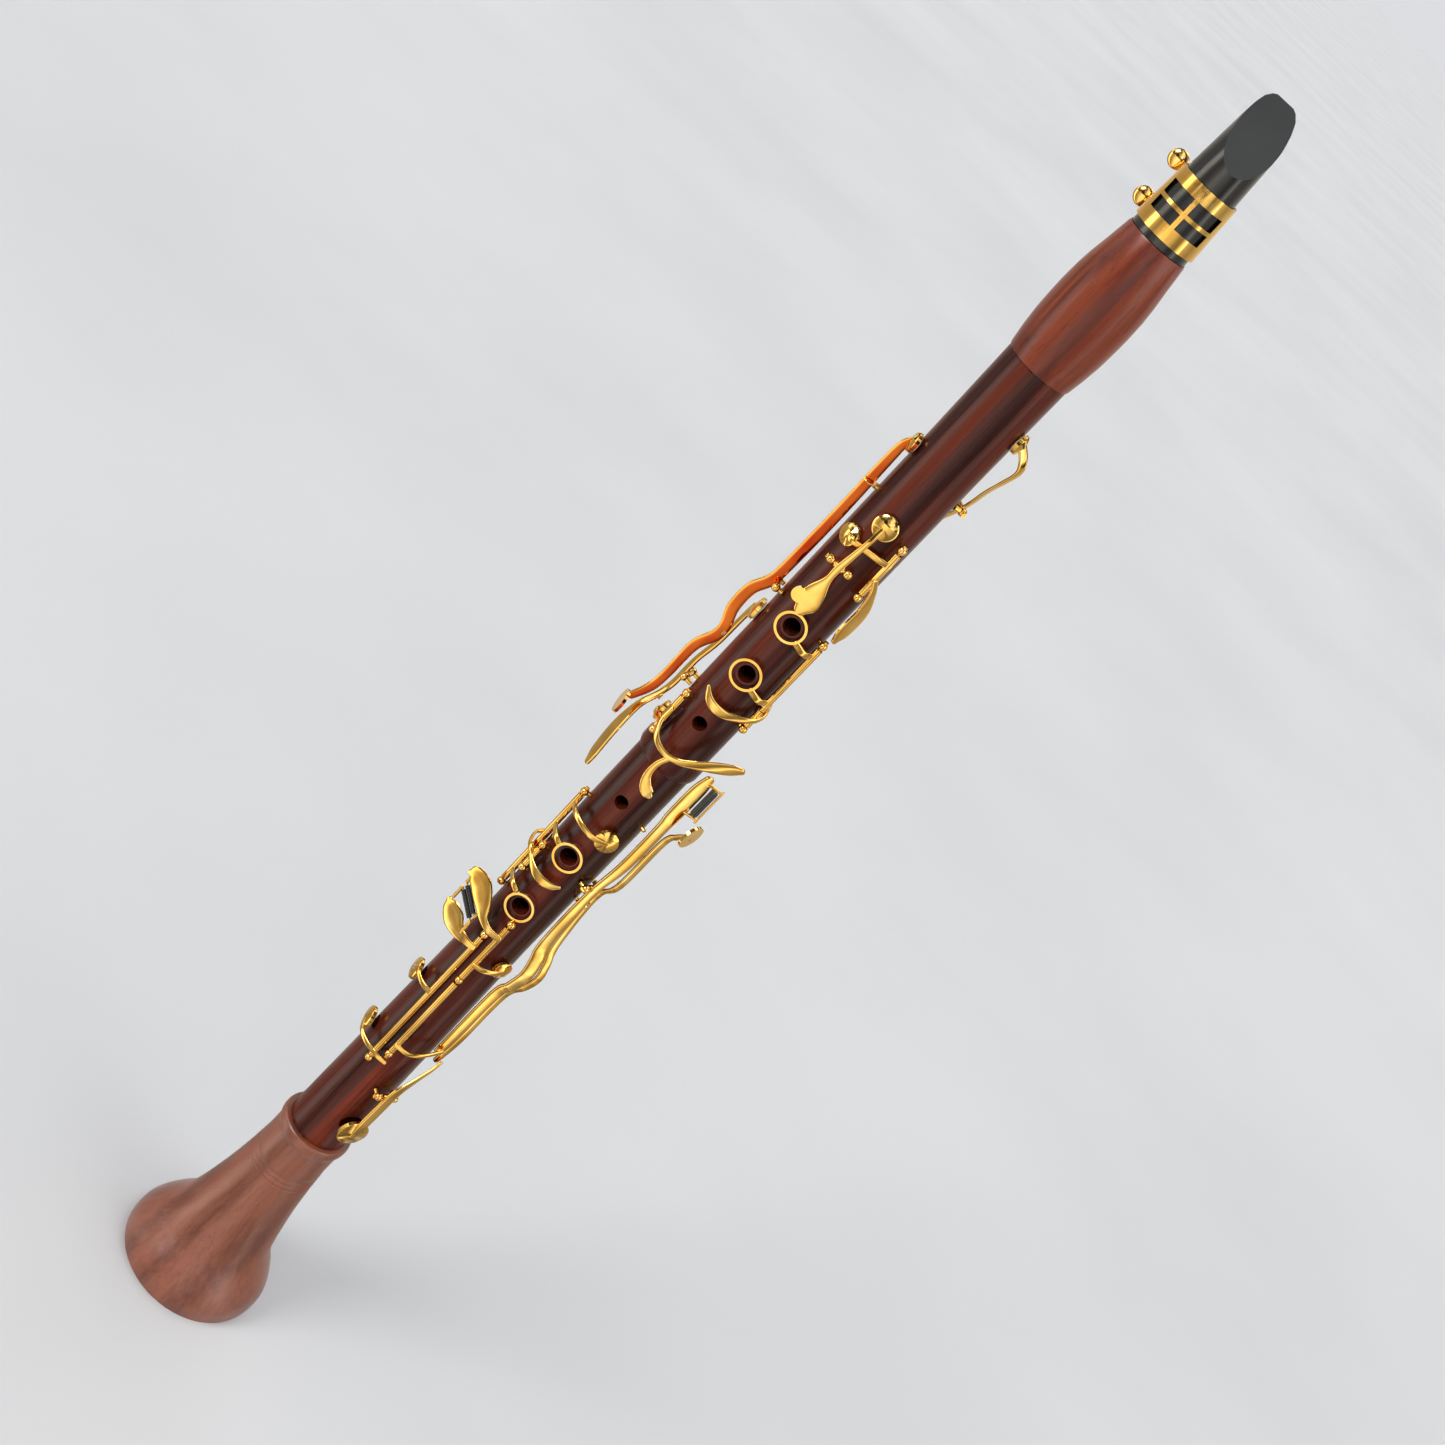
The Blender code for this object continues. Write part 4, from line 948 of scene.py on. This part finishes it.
def c_sharp_key():
    spatula = [((-14.0, -14.2, 445), 3.4), ((-13.8, -15.6, 438), 3.2), ((-9.5, -19.6, 432), 3.2),
               ((-2.0, -21.3, 430), 3.2), ((5.0, -21.4, 431.8), 3.4), ((12.0, -20.0, 436), 5.0),
               ((19.0, -17.8, 440.5), 7.4), ((25.0, -15.6, 444.2), 8.2), ((28.2, -14.4, 446.2), 5.6)]
    branch = [((1.5, -21.3, 431), 2.8), ((-1.2, -21.4, 424), 2.8), ((-1.2, -21.4, 417), 3.8),
              ((1.2, -21.4, 412), 5.6), ((4.4, -21.2, 409.4), 6.2), ((6.0, -21.0, 408.8), 3.6)]
    arm = [(polar(19.8, -48, 437), 3.0), (polar(20.0, -62, 436), 3.0), (polar(19.6, -76, 435), 3.0),
           (cup_top("c_sharp"), 3.0)]
    pieces = [cup("c_sharp"), strap("arm", arm), strap("spatula", spatula, 1.6),
              strap("branch", branch, 1.6, (0, -1, 0))]
    return key("c_sharp_key", long_sleeve("c_sharp"), pieces)


def lower_ring_key():
    pieces = [cup("lower_ring")]
    for z, side, rise in ((353.7, -1.4, 3.0), (315.9, -1.8, 6.5)):
        pieces.append(finger_ring(z, side))
        arm = [((-16.9, -8.4, z + rise + 1.0), 3.4), ((-13.0, -15.4, z + rise + 0.5), 3.2),
               ((side - 7.2, -17.2, z + rise - 1.0), 3.2)]
        pieces.append(strap("arm", arm))
    over = [((-17.0, -8.4, 373.5), 3.0), ((-14.0, -15.4, 373.5), 3.0), ((-8.0, -19.2, 373), 3.0),
            ((0.0, -20.6, 372.5), 3.0), (cup_top("lower_ring", 3.3), 3.0)]
    pieces.append(strap("over", over))
    return key("lower_ring_key", long_sleeve("lower_ring"), pieces)


def lower_crescent_key():
    touch = [(polar(20.0, -49, 338.5), 3.0), (polar(19.2, -39, 337), 3.6), (polar(18.6, -25, 335.6), 4.6),
             (polar(18.4, -9, 335.4), 4.8), (polar(18.4, 6, 336.6), 4.0), (polar(18.4, 17, 339), 2.0)]
    arm = [(polar(20.0, -49, 340), 3.0), (polar(21.6, -57, 341), 3.0), (polar(22.0, -68, 342.5), 3.0),
           (polar(21.2, -80, 344), 3.0), (cup_top("lower_crescent", 3.6), 3.0)]
    return key("lower_crescent_key", long_sleeve("lower_crescent"),
               [cup("lower_crescent"), strap("arm", arm), strap("touch", touch)])


ROLLER_BORE = 0.8
ROLLER_STEEL = 0.5
PADDLE_ROLLERS = {"ab_eb_roller": ((-27.0, -12.6, 301.4), (-15.6, -17.6, 295.4)),
                  "f_c_roller": ((-27.0, -12.6, 298.2), (-15.6, -17.6, 292.2))}
PADDLE_ROLLER_RADIUS = 1.3
LEVER_ROLLER = ((26.8, -4.2, 409.0), (26.8, -4.2, 424.5))
LEVER_ROLLER_RADIUS = 2.0


def roller(name, ends, radius):
    start, end = Vector(ends[0]), Vector(ends[1])
    length = (end - start).length
    profile = [(ROLLER_BORE, length), (radius, length), (radius, 0.0), (ROLLER_BORE, 0.0)]
    made = turned("roller", profile, 32, place(start, end - start), True)
    return finish(name, [made], LOOKS["black"])


def roller_steel(ends, over=1.7):
    start, end = Vector(ends[0]), Vector(ends[1])
    beyond = (end - start).normalized() * over
    return bar("steel", start - beyond, end + beyond, ROLLER_STEEL), start - beyond, end + beyond


def paddle(stations, ends, way):
    """Little-finger touch with its roller's steel and two lugs, above (1) or below (-1) the roller."""
    steel, left, right = roller_steel(ends)
    shift = Vector((0.0, 0.0, 5.0 if way > 0 else -8.0))
    pieces = [steel, bar("lug", left, left + shift, 0.9, 12),
              bar("lug", right, right + shift + Vector((0.4, -0.6, 0.0)), 0.9, 12)]
    return pieces + [strap("paddle", stations, 1.7, (-0.42, -1.0, 0.0))]


def ab_eb_key():
    stations = [((-29.8, -11.6, 307.6), 4.0), ((-27.8, -12.6, 308.8), 9.6), ((-22.0, -15.2, 308.2), 13.2),
                ((-16.4, -17.8, 304.2), 11.0), ((-11.0, -20.4, 299.6), 5.6), ((-5.0, -22.0, 297.6), 4.0),
                ((1.3, -20.8, 297.0), 3.6)]
    arm = [((1.6, -20.6, 276.5), 3.0), (polar(20.4, 20, 277), 3.0), (polar(19.6, 36, 278), 3.0),
           (cup_top("ab_eb"), 3.0)]
    pieces = paddle(stations, PADDLE_ROLLERS["ab_eb_roller"], 1.0)
    return key("ab_eb_key", long_sleeve("rod_b", low=MIDDLE_POST + 2.5),
               pieces + [cup("ab_eb"), strap("arm", arm)])


def f_c_key():
    stations = [((-28.8, -11.6, 288.0), 4.0), ((-26.6, -12.8, 286.8), 9.8), ((-21.0, -15.2, 284.2), 12.8),
                ((-15.6, -17.6, 282.6), 8.6), ((-10.0, -19.8, 283.0), 5.0), ((-4.9, -20.2, 283.2), 4.0)]
    pieces = paddle(stations, PADDLE_ROLLERS["f_c_roller"], -1.0)
    for name, z in (("f_c_upper", 247.0), ("f_c_lower", 198.2)):
        arm = [(polar(20.6, -14.5, z), 3.0), (polar(21.4, -32, z), 3.0), (polar(22.4, -50, z + 1.0), 3.0),
               (cup_top(name), 3.0)]
        pieces += [cup(name), strap("arm", arm)]
    pieces.append(strap("finger", [(polar(20.6, -15.5, 198.2), 3.0), (polar(20.8, -5, 198.2), 3.0),
                                   (polar(20.8, 8, 198.2), 2.4)]))
    return key("f_c_key", long_sleeve("rod_a"), pieces)


def fs_cs_linkage():
    arm = [(polar(20.6, 3, 211), 3.0), (polar(21.8, 22, 211.5), 2.8), (polar(21.6, 42, 214), 2.8),
           ((19.9, -8.0, 217.5), 2.8)]
    return key("fs_cs_linkage", long_sleeve("rod_b", high=MIDDLE_POST - 2.5), [strap("arm", arm)])


def fs_cs_lever():
    lever = [((18.4, -6.0, 215), 5.2), ((18.9, -6.0, 262), 6.6), ((21.6, -6.0, 272), 7.2),
             ((23.4, -6.0, 283), 7.4),
             ((21.8, -6.0, 293), 7.2), ((19.6, -6.4, 302), 7.0), ((18.4, -8.0, 325), 6.0),
             ((18.4, -7.8, 345), 5.0),
             ((20.7, -6.2, 366), 6.4), ((20.8, -6.2, 394), 6.8), ((20.6, -6.2, 402), 8.2),
             ((20.7, -6.2, 420), 8.2),
             ((21.0, -6.2, 428), 5.4)]
    steel, low, high = roller_steel(LEVER_ROLLER)
    lugs = [bar("lug", low, Vector((22.6, -5.0, low.z - 0.4)), 0.9, 12),
            bar("lug", high, Vector((22.0, -5.4, high.z)), 0.9, 12)]
    rail = strap("rail", [((29.8, -3.8, low.z - 0.6), 2.4), ((29.8, -3.8, high.z + 0.6), 2.4)], 1.2,
                 (1, -0.1, 0))
    cross = [bar("lug", end, Vector((29.8, -3.8, end.z)), 0.7, 12) for end in (low, high)]
    pieces = [strap("lever", lever, 1.6, outward(35), BAR_POWER), steel, rail, *lugs, *cross]
    return key("fs_cs_lever", cross_sleeve("fs_cs_lever"), pieces)


def eb_lever():
    lever = [((20.6, -1.6, 207), 3.6), ((22.0, -1.0, 225), 4.0), ((22.4, -1.0, 262), 4.0),
             ((27.0, -1.0, 274), 4.4),
             ((28.8, -1.0, 283), 4.4), ((27.0, -1.0, 292), 4.4), ((23.8, -0.4, 302), 4.2),
             ((21.6, 1.2, 325), 3.4),
             ((21.6, 1.4, 341), 3.4), ((25.6, -0.4, 352), 4.2), ((26.0, -1.0, 385), 4.2),
             ((29.0, -1.6, 393), 4.0),
             ((32.6, -3.2, 397), 5.0)]
    pieces = [strap("lever", lever, 1.5, outward(38), BAR_POWER), disc("touch", (33.2, -3.4, 399.0), outward(68), 6.8,
                                                            1.5)]
    return key("eb_lever", cross_sleeve("eb_lever"), pieces)


def eb_pad_key():
    path = [(cup_top("e_b"), 4.6), (polar(23.6, 46, 158), 6.0), (polar(23.2, 48, 170), 6.4),
            (polar(23.1, 50, 184), 6.0),
            ((20.0, -11.0, 194), 4.6), ((22.6, -5.4, 203), 4.0), ((23.4, -2.6, 208), 3.2)]
    return key("eb_pad_key", cross_sleeve("eb_pad"), [cup("e_b"), strap("arm", path, 1.6, power=BAR_POWER)])


# Small pieces that only the look has.

SADDLE_Z = 583.5
GUIDE_Z = 387.0


def saddle():
    """Guide that the long trill lever lies in."""
    foot = bar("foot", polar(14.6, -74.0, SADDLE_Z), polar(17.0, -74.0, SADDLE_Z), 1.5)
    extra("trill_saddle_foot", foot, LOOKS["gold"], "tube")
    sides = [((-16.4, -7.2, SADDLE_Z), 2.6), ((-19.0, -7.6, SADDLE_Z), 3.4), ((-21.4, -7.4, SADDLE_Z), 1.6)]
    extra("trill_saddle", strap("saddle", sides, 1.0, (0, 0, 1)), LOOKS["gold"], "tube")


def guide_post():
    """Short post under the long side levers."""
    post = bar("post", polar(14.4, 62.0, GUIDE_Z), polar(18.0, 62.0, GUIDE_Z), 1.0)
    extra("lever_guide_post", post, LOOKS["gold"], "tube")


def springs():
    """Needle springs, from a post along its sleeve."""
    for name, (radius, angle, low, high) in LONG_HINGES.items():
        start = polar(radius - 2.0, angle + 5.0, low + 1.0)
        end = polar(radius - 1.6, angle + 11.0, low + min(high - low, 34.0) * 0.75)
        extra(name + "_spring", bar("needle", start, end, 0.28, 8), LOOKS["steel"], "tube")


SCREW_HEAD = 1.1
SCREW_SLOT = 0.22
# Hinges whose screw head is on the lower or rear post, as the other one has no room.
OTHER_END = ("rod_b", "eb_lever")


def screw_head(name, centre, axis):
    """Slotted head of a hinge steel, on the outer face of its ball post."""
    start = Vector(centre) + Vector(axis) * (BALL_RADIUS - 0.25)
    head = bar(name + "_screw", start, start + Vector(axis) * 0.8, SCREW_HEAD, 24)
    slot = block("slot", (-2.0, -SCREW_SLOT, 0.4), (2.0, SCREW_SLOT, 2.0))
    slot.data.transform(place(start * MM, axis))
    cut = head.modifiers.new("slot", "BOOLEAN")
    cut.operation = "DIFFERENCE"
    cut.object = slot
    made = bpy.data.objects.new(name + "_screw", evaluated_mesh(head))
    HELPERS.objects.link(made)
    bpy.data.objects.remove(slot)
    extra(name + "_screw", made, LOOKS["gold"], "tube")


def screw_heads():
    for name, (radius, angle, low, high) in LONG_HINGES.items():
        way = -1.0 if name in OTHER_END else 1.0
        screw_head(name, polar(radius, angle, low if name in OTHER_END else high), (0.0, 0.0, way))
    for name, (_, angle, _) in CROSS_HINGES.items():
        way = around(angle) * (1.0 if name in OTHER_END else -1.0)
        screw_head(name, cross_centre(name) + way * CROSS_HALF, way)


# Key corks: the key's underside over the wood, as a point.
KEY_CORKS = {"register_key": (3.2, 20.9, 560.0), "throat_a_key": (-2.5, -20.9, 534.0),
             "trill_key_1": (-21.0, -4.5, 485.5), "trill_key_2": (-22.6, -0.6, 439.0),
             "fs_cs_lever": (19.9, -6.0, 380.0), "eb_lever": (24.9, -0.9, 372.0)}


def key_corks():
    for name, point in KEY_CORKS.items():
        top = Vector(point)
        inwards = -Vector((top.x, top.y, 0.0)).normalized()
        made = bar("disc", top, top + inwards * 1.5, 1.4, 24)
        extra(name + "_bumper", made, LOOKS["cork"], BODY_OF[name])


bell()
lower_joint()
upper_joint()
barrel()
mouthpiece()
reed()
ligature()
for screw_name, screw_z in SCREW_HEIGHTS:
    ligature_screw(screw_name, screw_z)
thumb_rest()
cork("bell_tenon_cork", BELL_TOP + GAP, -1.0, BELL_TENON_RADIUS - 1.0, 13.9)
cork("middle_tenon_cork", LOWER_TOP, 1.0)
cork("upper_tenon_cork", UPPER_TOP, 1.0)
cork("mouthpiece_cork", BARREL_TOP + GAP, -1.0)
for hinge_name in LONG_HINGES:
    long_hinge(hinge_name)
for hinge_name in CROSS_HINGES:
    cross_hinge(hinge_name)
for make_key in (register_key, throat_a_key, g_sharp_key, upper_ring_key, upper_crescent_key, trill_key_1,
                 trill_key_2, c_sharp_key, lower_ring_key, lower_crescent_key, ab_eb_key, f_c_key,
                 fs_cs_linkage, fs_cs_lever, eb_lever, eb_pad_key):
    make_key()
for roller_name, roller_ends in PADDLE_ROLLERS.items():
    roller(roller_name, roller_ends, PADDLE_ROLLER_RADIUS)
roller("lever_roller", LEVER_ROLLER, LEVER_ROLLER_RADIUS)
for cup_name in CUPS:
    pad(cup_name)

saddle()
guide_post()
springs()
screw_heads()
key_corks()

# Floor, light and camera.
FLOOR_HALF = 80.0
LENS = 53.3
SENSOR = 36.0
TARGET = Vector((0.0071, 0.0, 0.451))
DISTANCE = 0.973
ELEVATION = math.radians(25.0)
ROLL = math.radians(43.8)
HORIZON = "dcdee1"
# Reflection sheet: brightness by angle from the front.
SHEET_LEVELS = ((-180, 0.8), (-120, 0.5), (-90, 0.4), (-78, 0.6), (-71, 3.0), (-58, 3.0), (-51, 0.7),
                (-38, 0.35), (-20, 0.8), (-8, 1.7), (4, 1.5), (14, 0.95), (26, 0.75), (40, 0.32), (52, 0.25),
                (61, 1.2), (68, 2.4), (75, 0.6), (100, 0.35), (140, 0.7), (180, 0.8))
SHEET_WARMTH = (1.0, 0.93, 0.82)
SHEET_START = 0.07
SHEET_GROWTH = 1.16
SHEET_RINGS = 48
SHEET_SPOKES = 180
SHEET_LIFT = 2.0
SHEET_RIPPLE = 0.4
SHEET_CALM = 24.0
PANEL_STRENGTH = 1.7
PANELS = ((0.36, "1c1b1a"), (0.46, "4a4844"), (0.56, "b4b4b6"), (0.66, "ffffff"))


def floor():
    body = bmesh.new()
    bmesh.ops.create_grid(body, x_segments=8, y_segments=8, size=FLOOR_HALF)
    mesh = bpy.data.meshes.new("floor")
    body.to_mesh(mesh)
    body.free()
    mesh.materials.append(backdrop())
    sheet = bpy.data.objects.new("floor", mesh)
    bpy.context.scene.collection.objects.link(sheet)


def level(angle):
    """Brightness of the reflection sheet at this angle from the front, by straight lines between the table's rows."""
    for (start, low), (end, high) in zip(SHEET_LEVELS, SHEET_LEVELS[1:]):
        if start <= angle <= end:
            return low + (high - low) * (angle - start) / (end - start)
    return SHEET_LEVELS[-1][1]


def reflection_sheet():
    """Bright panels and dark gaps that lie on the floor for reflections only, as upright faces mirror what is low."""
    body = bmesh.new()
    glow = body.loops.layers.float_color.new("glow")
    rings = []
    for i in range(SHEET_RINGS):
        radius = SHEET_START * SHEET_GROWTH ** i
        rings.append([body.verts.new(polar(radius, -180.0 + 360.0 * j / SHEET_SPOKES, SHEET_LIFT * MM))
                      for j in range(SHEET_SPOKES)])
    for i, (near, far) in enumerate(zip(rings, rings[1:])):
        for j in range(SHEET_SPOKES):
            k = (j + 1) % SHEET_SPOKES
            face = body.faces.new((near[j], far[j], far[k], near[k]))
            for loop, spoke, ring in zip(face.loops, (j, j, j + 1, j + 1), (i, i + 1, i + 1, i)):
                fading = SHEET_RIPPLE * max(0.0, 1.0 - ring / SHEET_CALM)
                bright = level(-180.0 + 360.0 * spoke / SHEET_SPOKES) * (1.0 - fading * (1.0 + math.sin(ring * 2.1)))
                loop[glow] = tuple(bright * share for share in SHEET_WARMTH) + (1.0,)
    mesh = bpy.data.meshes.new("reflection_sheet")
    body.to_mesh(mesh)
    body.free()
    shine = bpy.data.materials.new("reflection_sheet")
    shine.use_nodes = True
    tree = shine.node_tree
    tree.nodes.remove(tree.nodes["Principled BSDF"])
    source = tree.nodes.new("ShaderNodeAttribute")
    source.attribute_name = "glow"
    emission = tree.nodes.new("ShaderNodeEmission")
    tree.links.new(source.outputs["Color"], emission.inputs["Color"])
    tree.links.new(emission.outputs["Emission"], tree.nodes["Material Output"].inputs["Surface"])
    mesh.materials.append(shine)
    sheet = bpy.data.objects.new("reflection_sheet", mesh)
    bpy.context.scene.collection.objects.link(sheet)
    sheet.visible_camera = sheet.visible_diffuse = sheet.visible_shadow = sheet.visible_transmission = False


def sun(name, towards, strength, spread, colour):
    """Soft light from this direction, of this width in degrees."""
    light = bpy.data.lights.new(name, "SUN")
    light.energy = strength
    light.angle = math.radians(spread)
    light.color = colour
    made = bpy.data.objects.new(name, light)
    made.rotation_euler = Vector(towards).to_track_quat("Z", "Y").to_euler()
    bpy.context.scene.collection.objects.link(made)


def world():
    """Pale to look at. What the gold reflects is a studio of bright panels and dark gaps between them."""
    sky = bpy.data.worlds.new("studio")
    sky.use_nodes = True
    tree = sky.node_tree
    plain = tree.nodes["Background"]
    plain.inputs["Color"].default_value = tone(HORIZON)
    panels = tree.nodes.new("ShaderNodeBackground")
    panels.inputs["Strength"].default_value = PANEL_STRENGTH
    pattern = tree.nodes.new("ShaderNodeTexNoise")
    pattern.inputs["Scale"].default_value = 2.6
    pattern.inputs["Detail"].default_value = 1.0
    tree.links.new(tree.nodes.new("ShaderNodeTexCoord").outputs["Generated"], pattern.inputs["Vector"])
    shades = tree.nodes.new("ShaderNodeValToRGB")
    while len(shades.color_ramp.elements) < len(PANELS):
        shades.color_ramp.elements.new(0.5)
    for element, (position, colour) in zip(shades.color_ramp.elements, PANELS):
        element.position = position
        element.color = tone(colour)
    tree.links.new(pattern.outputs["Fac"], shades.inputs["Fac"])
    tree.links.new(shades.outputs["Color"], panels.inputs["Color"])
    either = tree.nodes.new("ShaderNodeMixShader")
    tree.links.new(tree.nodes.new("ShaderNodeLightPath").outputs["Is Camera Ray"], either.inputs["Fac"])
    tree.links.new(panels.outputs["Background"], either.inputs[1])
    tree.links.new(plain.outputs["Background"], either.inputs[2])
    tree.links.new(either.outputs["Shader"], tree.nodes["World Output"].inputs["Surface"])
    bpy.context.scene.world = sky


def camera():
    data = bpy.data.cameras.new("view")
    data.lens = LENS
    data.sensor_width = SENSOR
    made = bpy.data.objects.new("view", data)
    back = Vector((0.0, -math.cos(ELEVATION), math.sin(ELEVATION)))
    turn = (-back).to_track_quat("-Z", "Y").to_matrix().to_4x4() @ Matrix.Rotation(ROLL, 4, "Z")
    made.matrix_world = Matrix.Translation(TARGET + back * DISTANCE) @ turn
    bpy.context.scene.collection.objects.link(made)
    bpy.context.scene.camera = made


floor()
reflection_sheet()
world()
sun("window", (-0.75, -0.7, 0.62), 1.6, 26.0, (1.0, 0.985, 0.96))
sun("ceiling", (0.25, 0.35, 1.0), 1.0, 50.0, (0.97, 0.985, 1.0))
sun("far_side", (0.95, -0.35, 0.4), 0.6, 40.0, (1.0, 0.96, 0.9))
camera()
bpy.context.scene.view_settings.view_transform = "Standard"
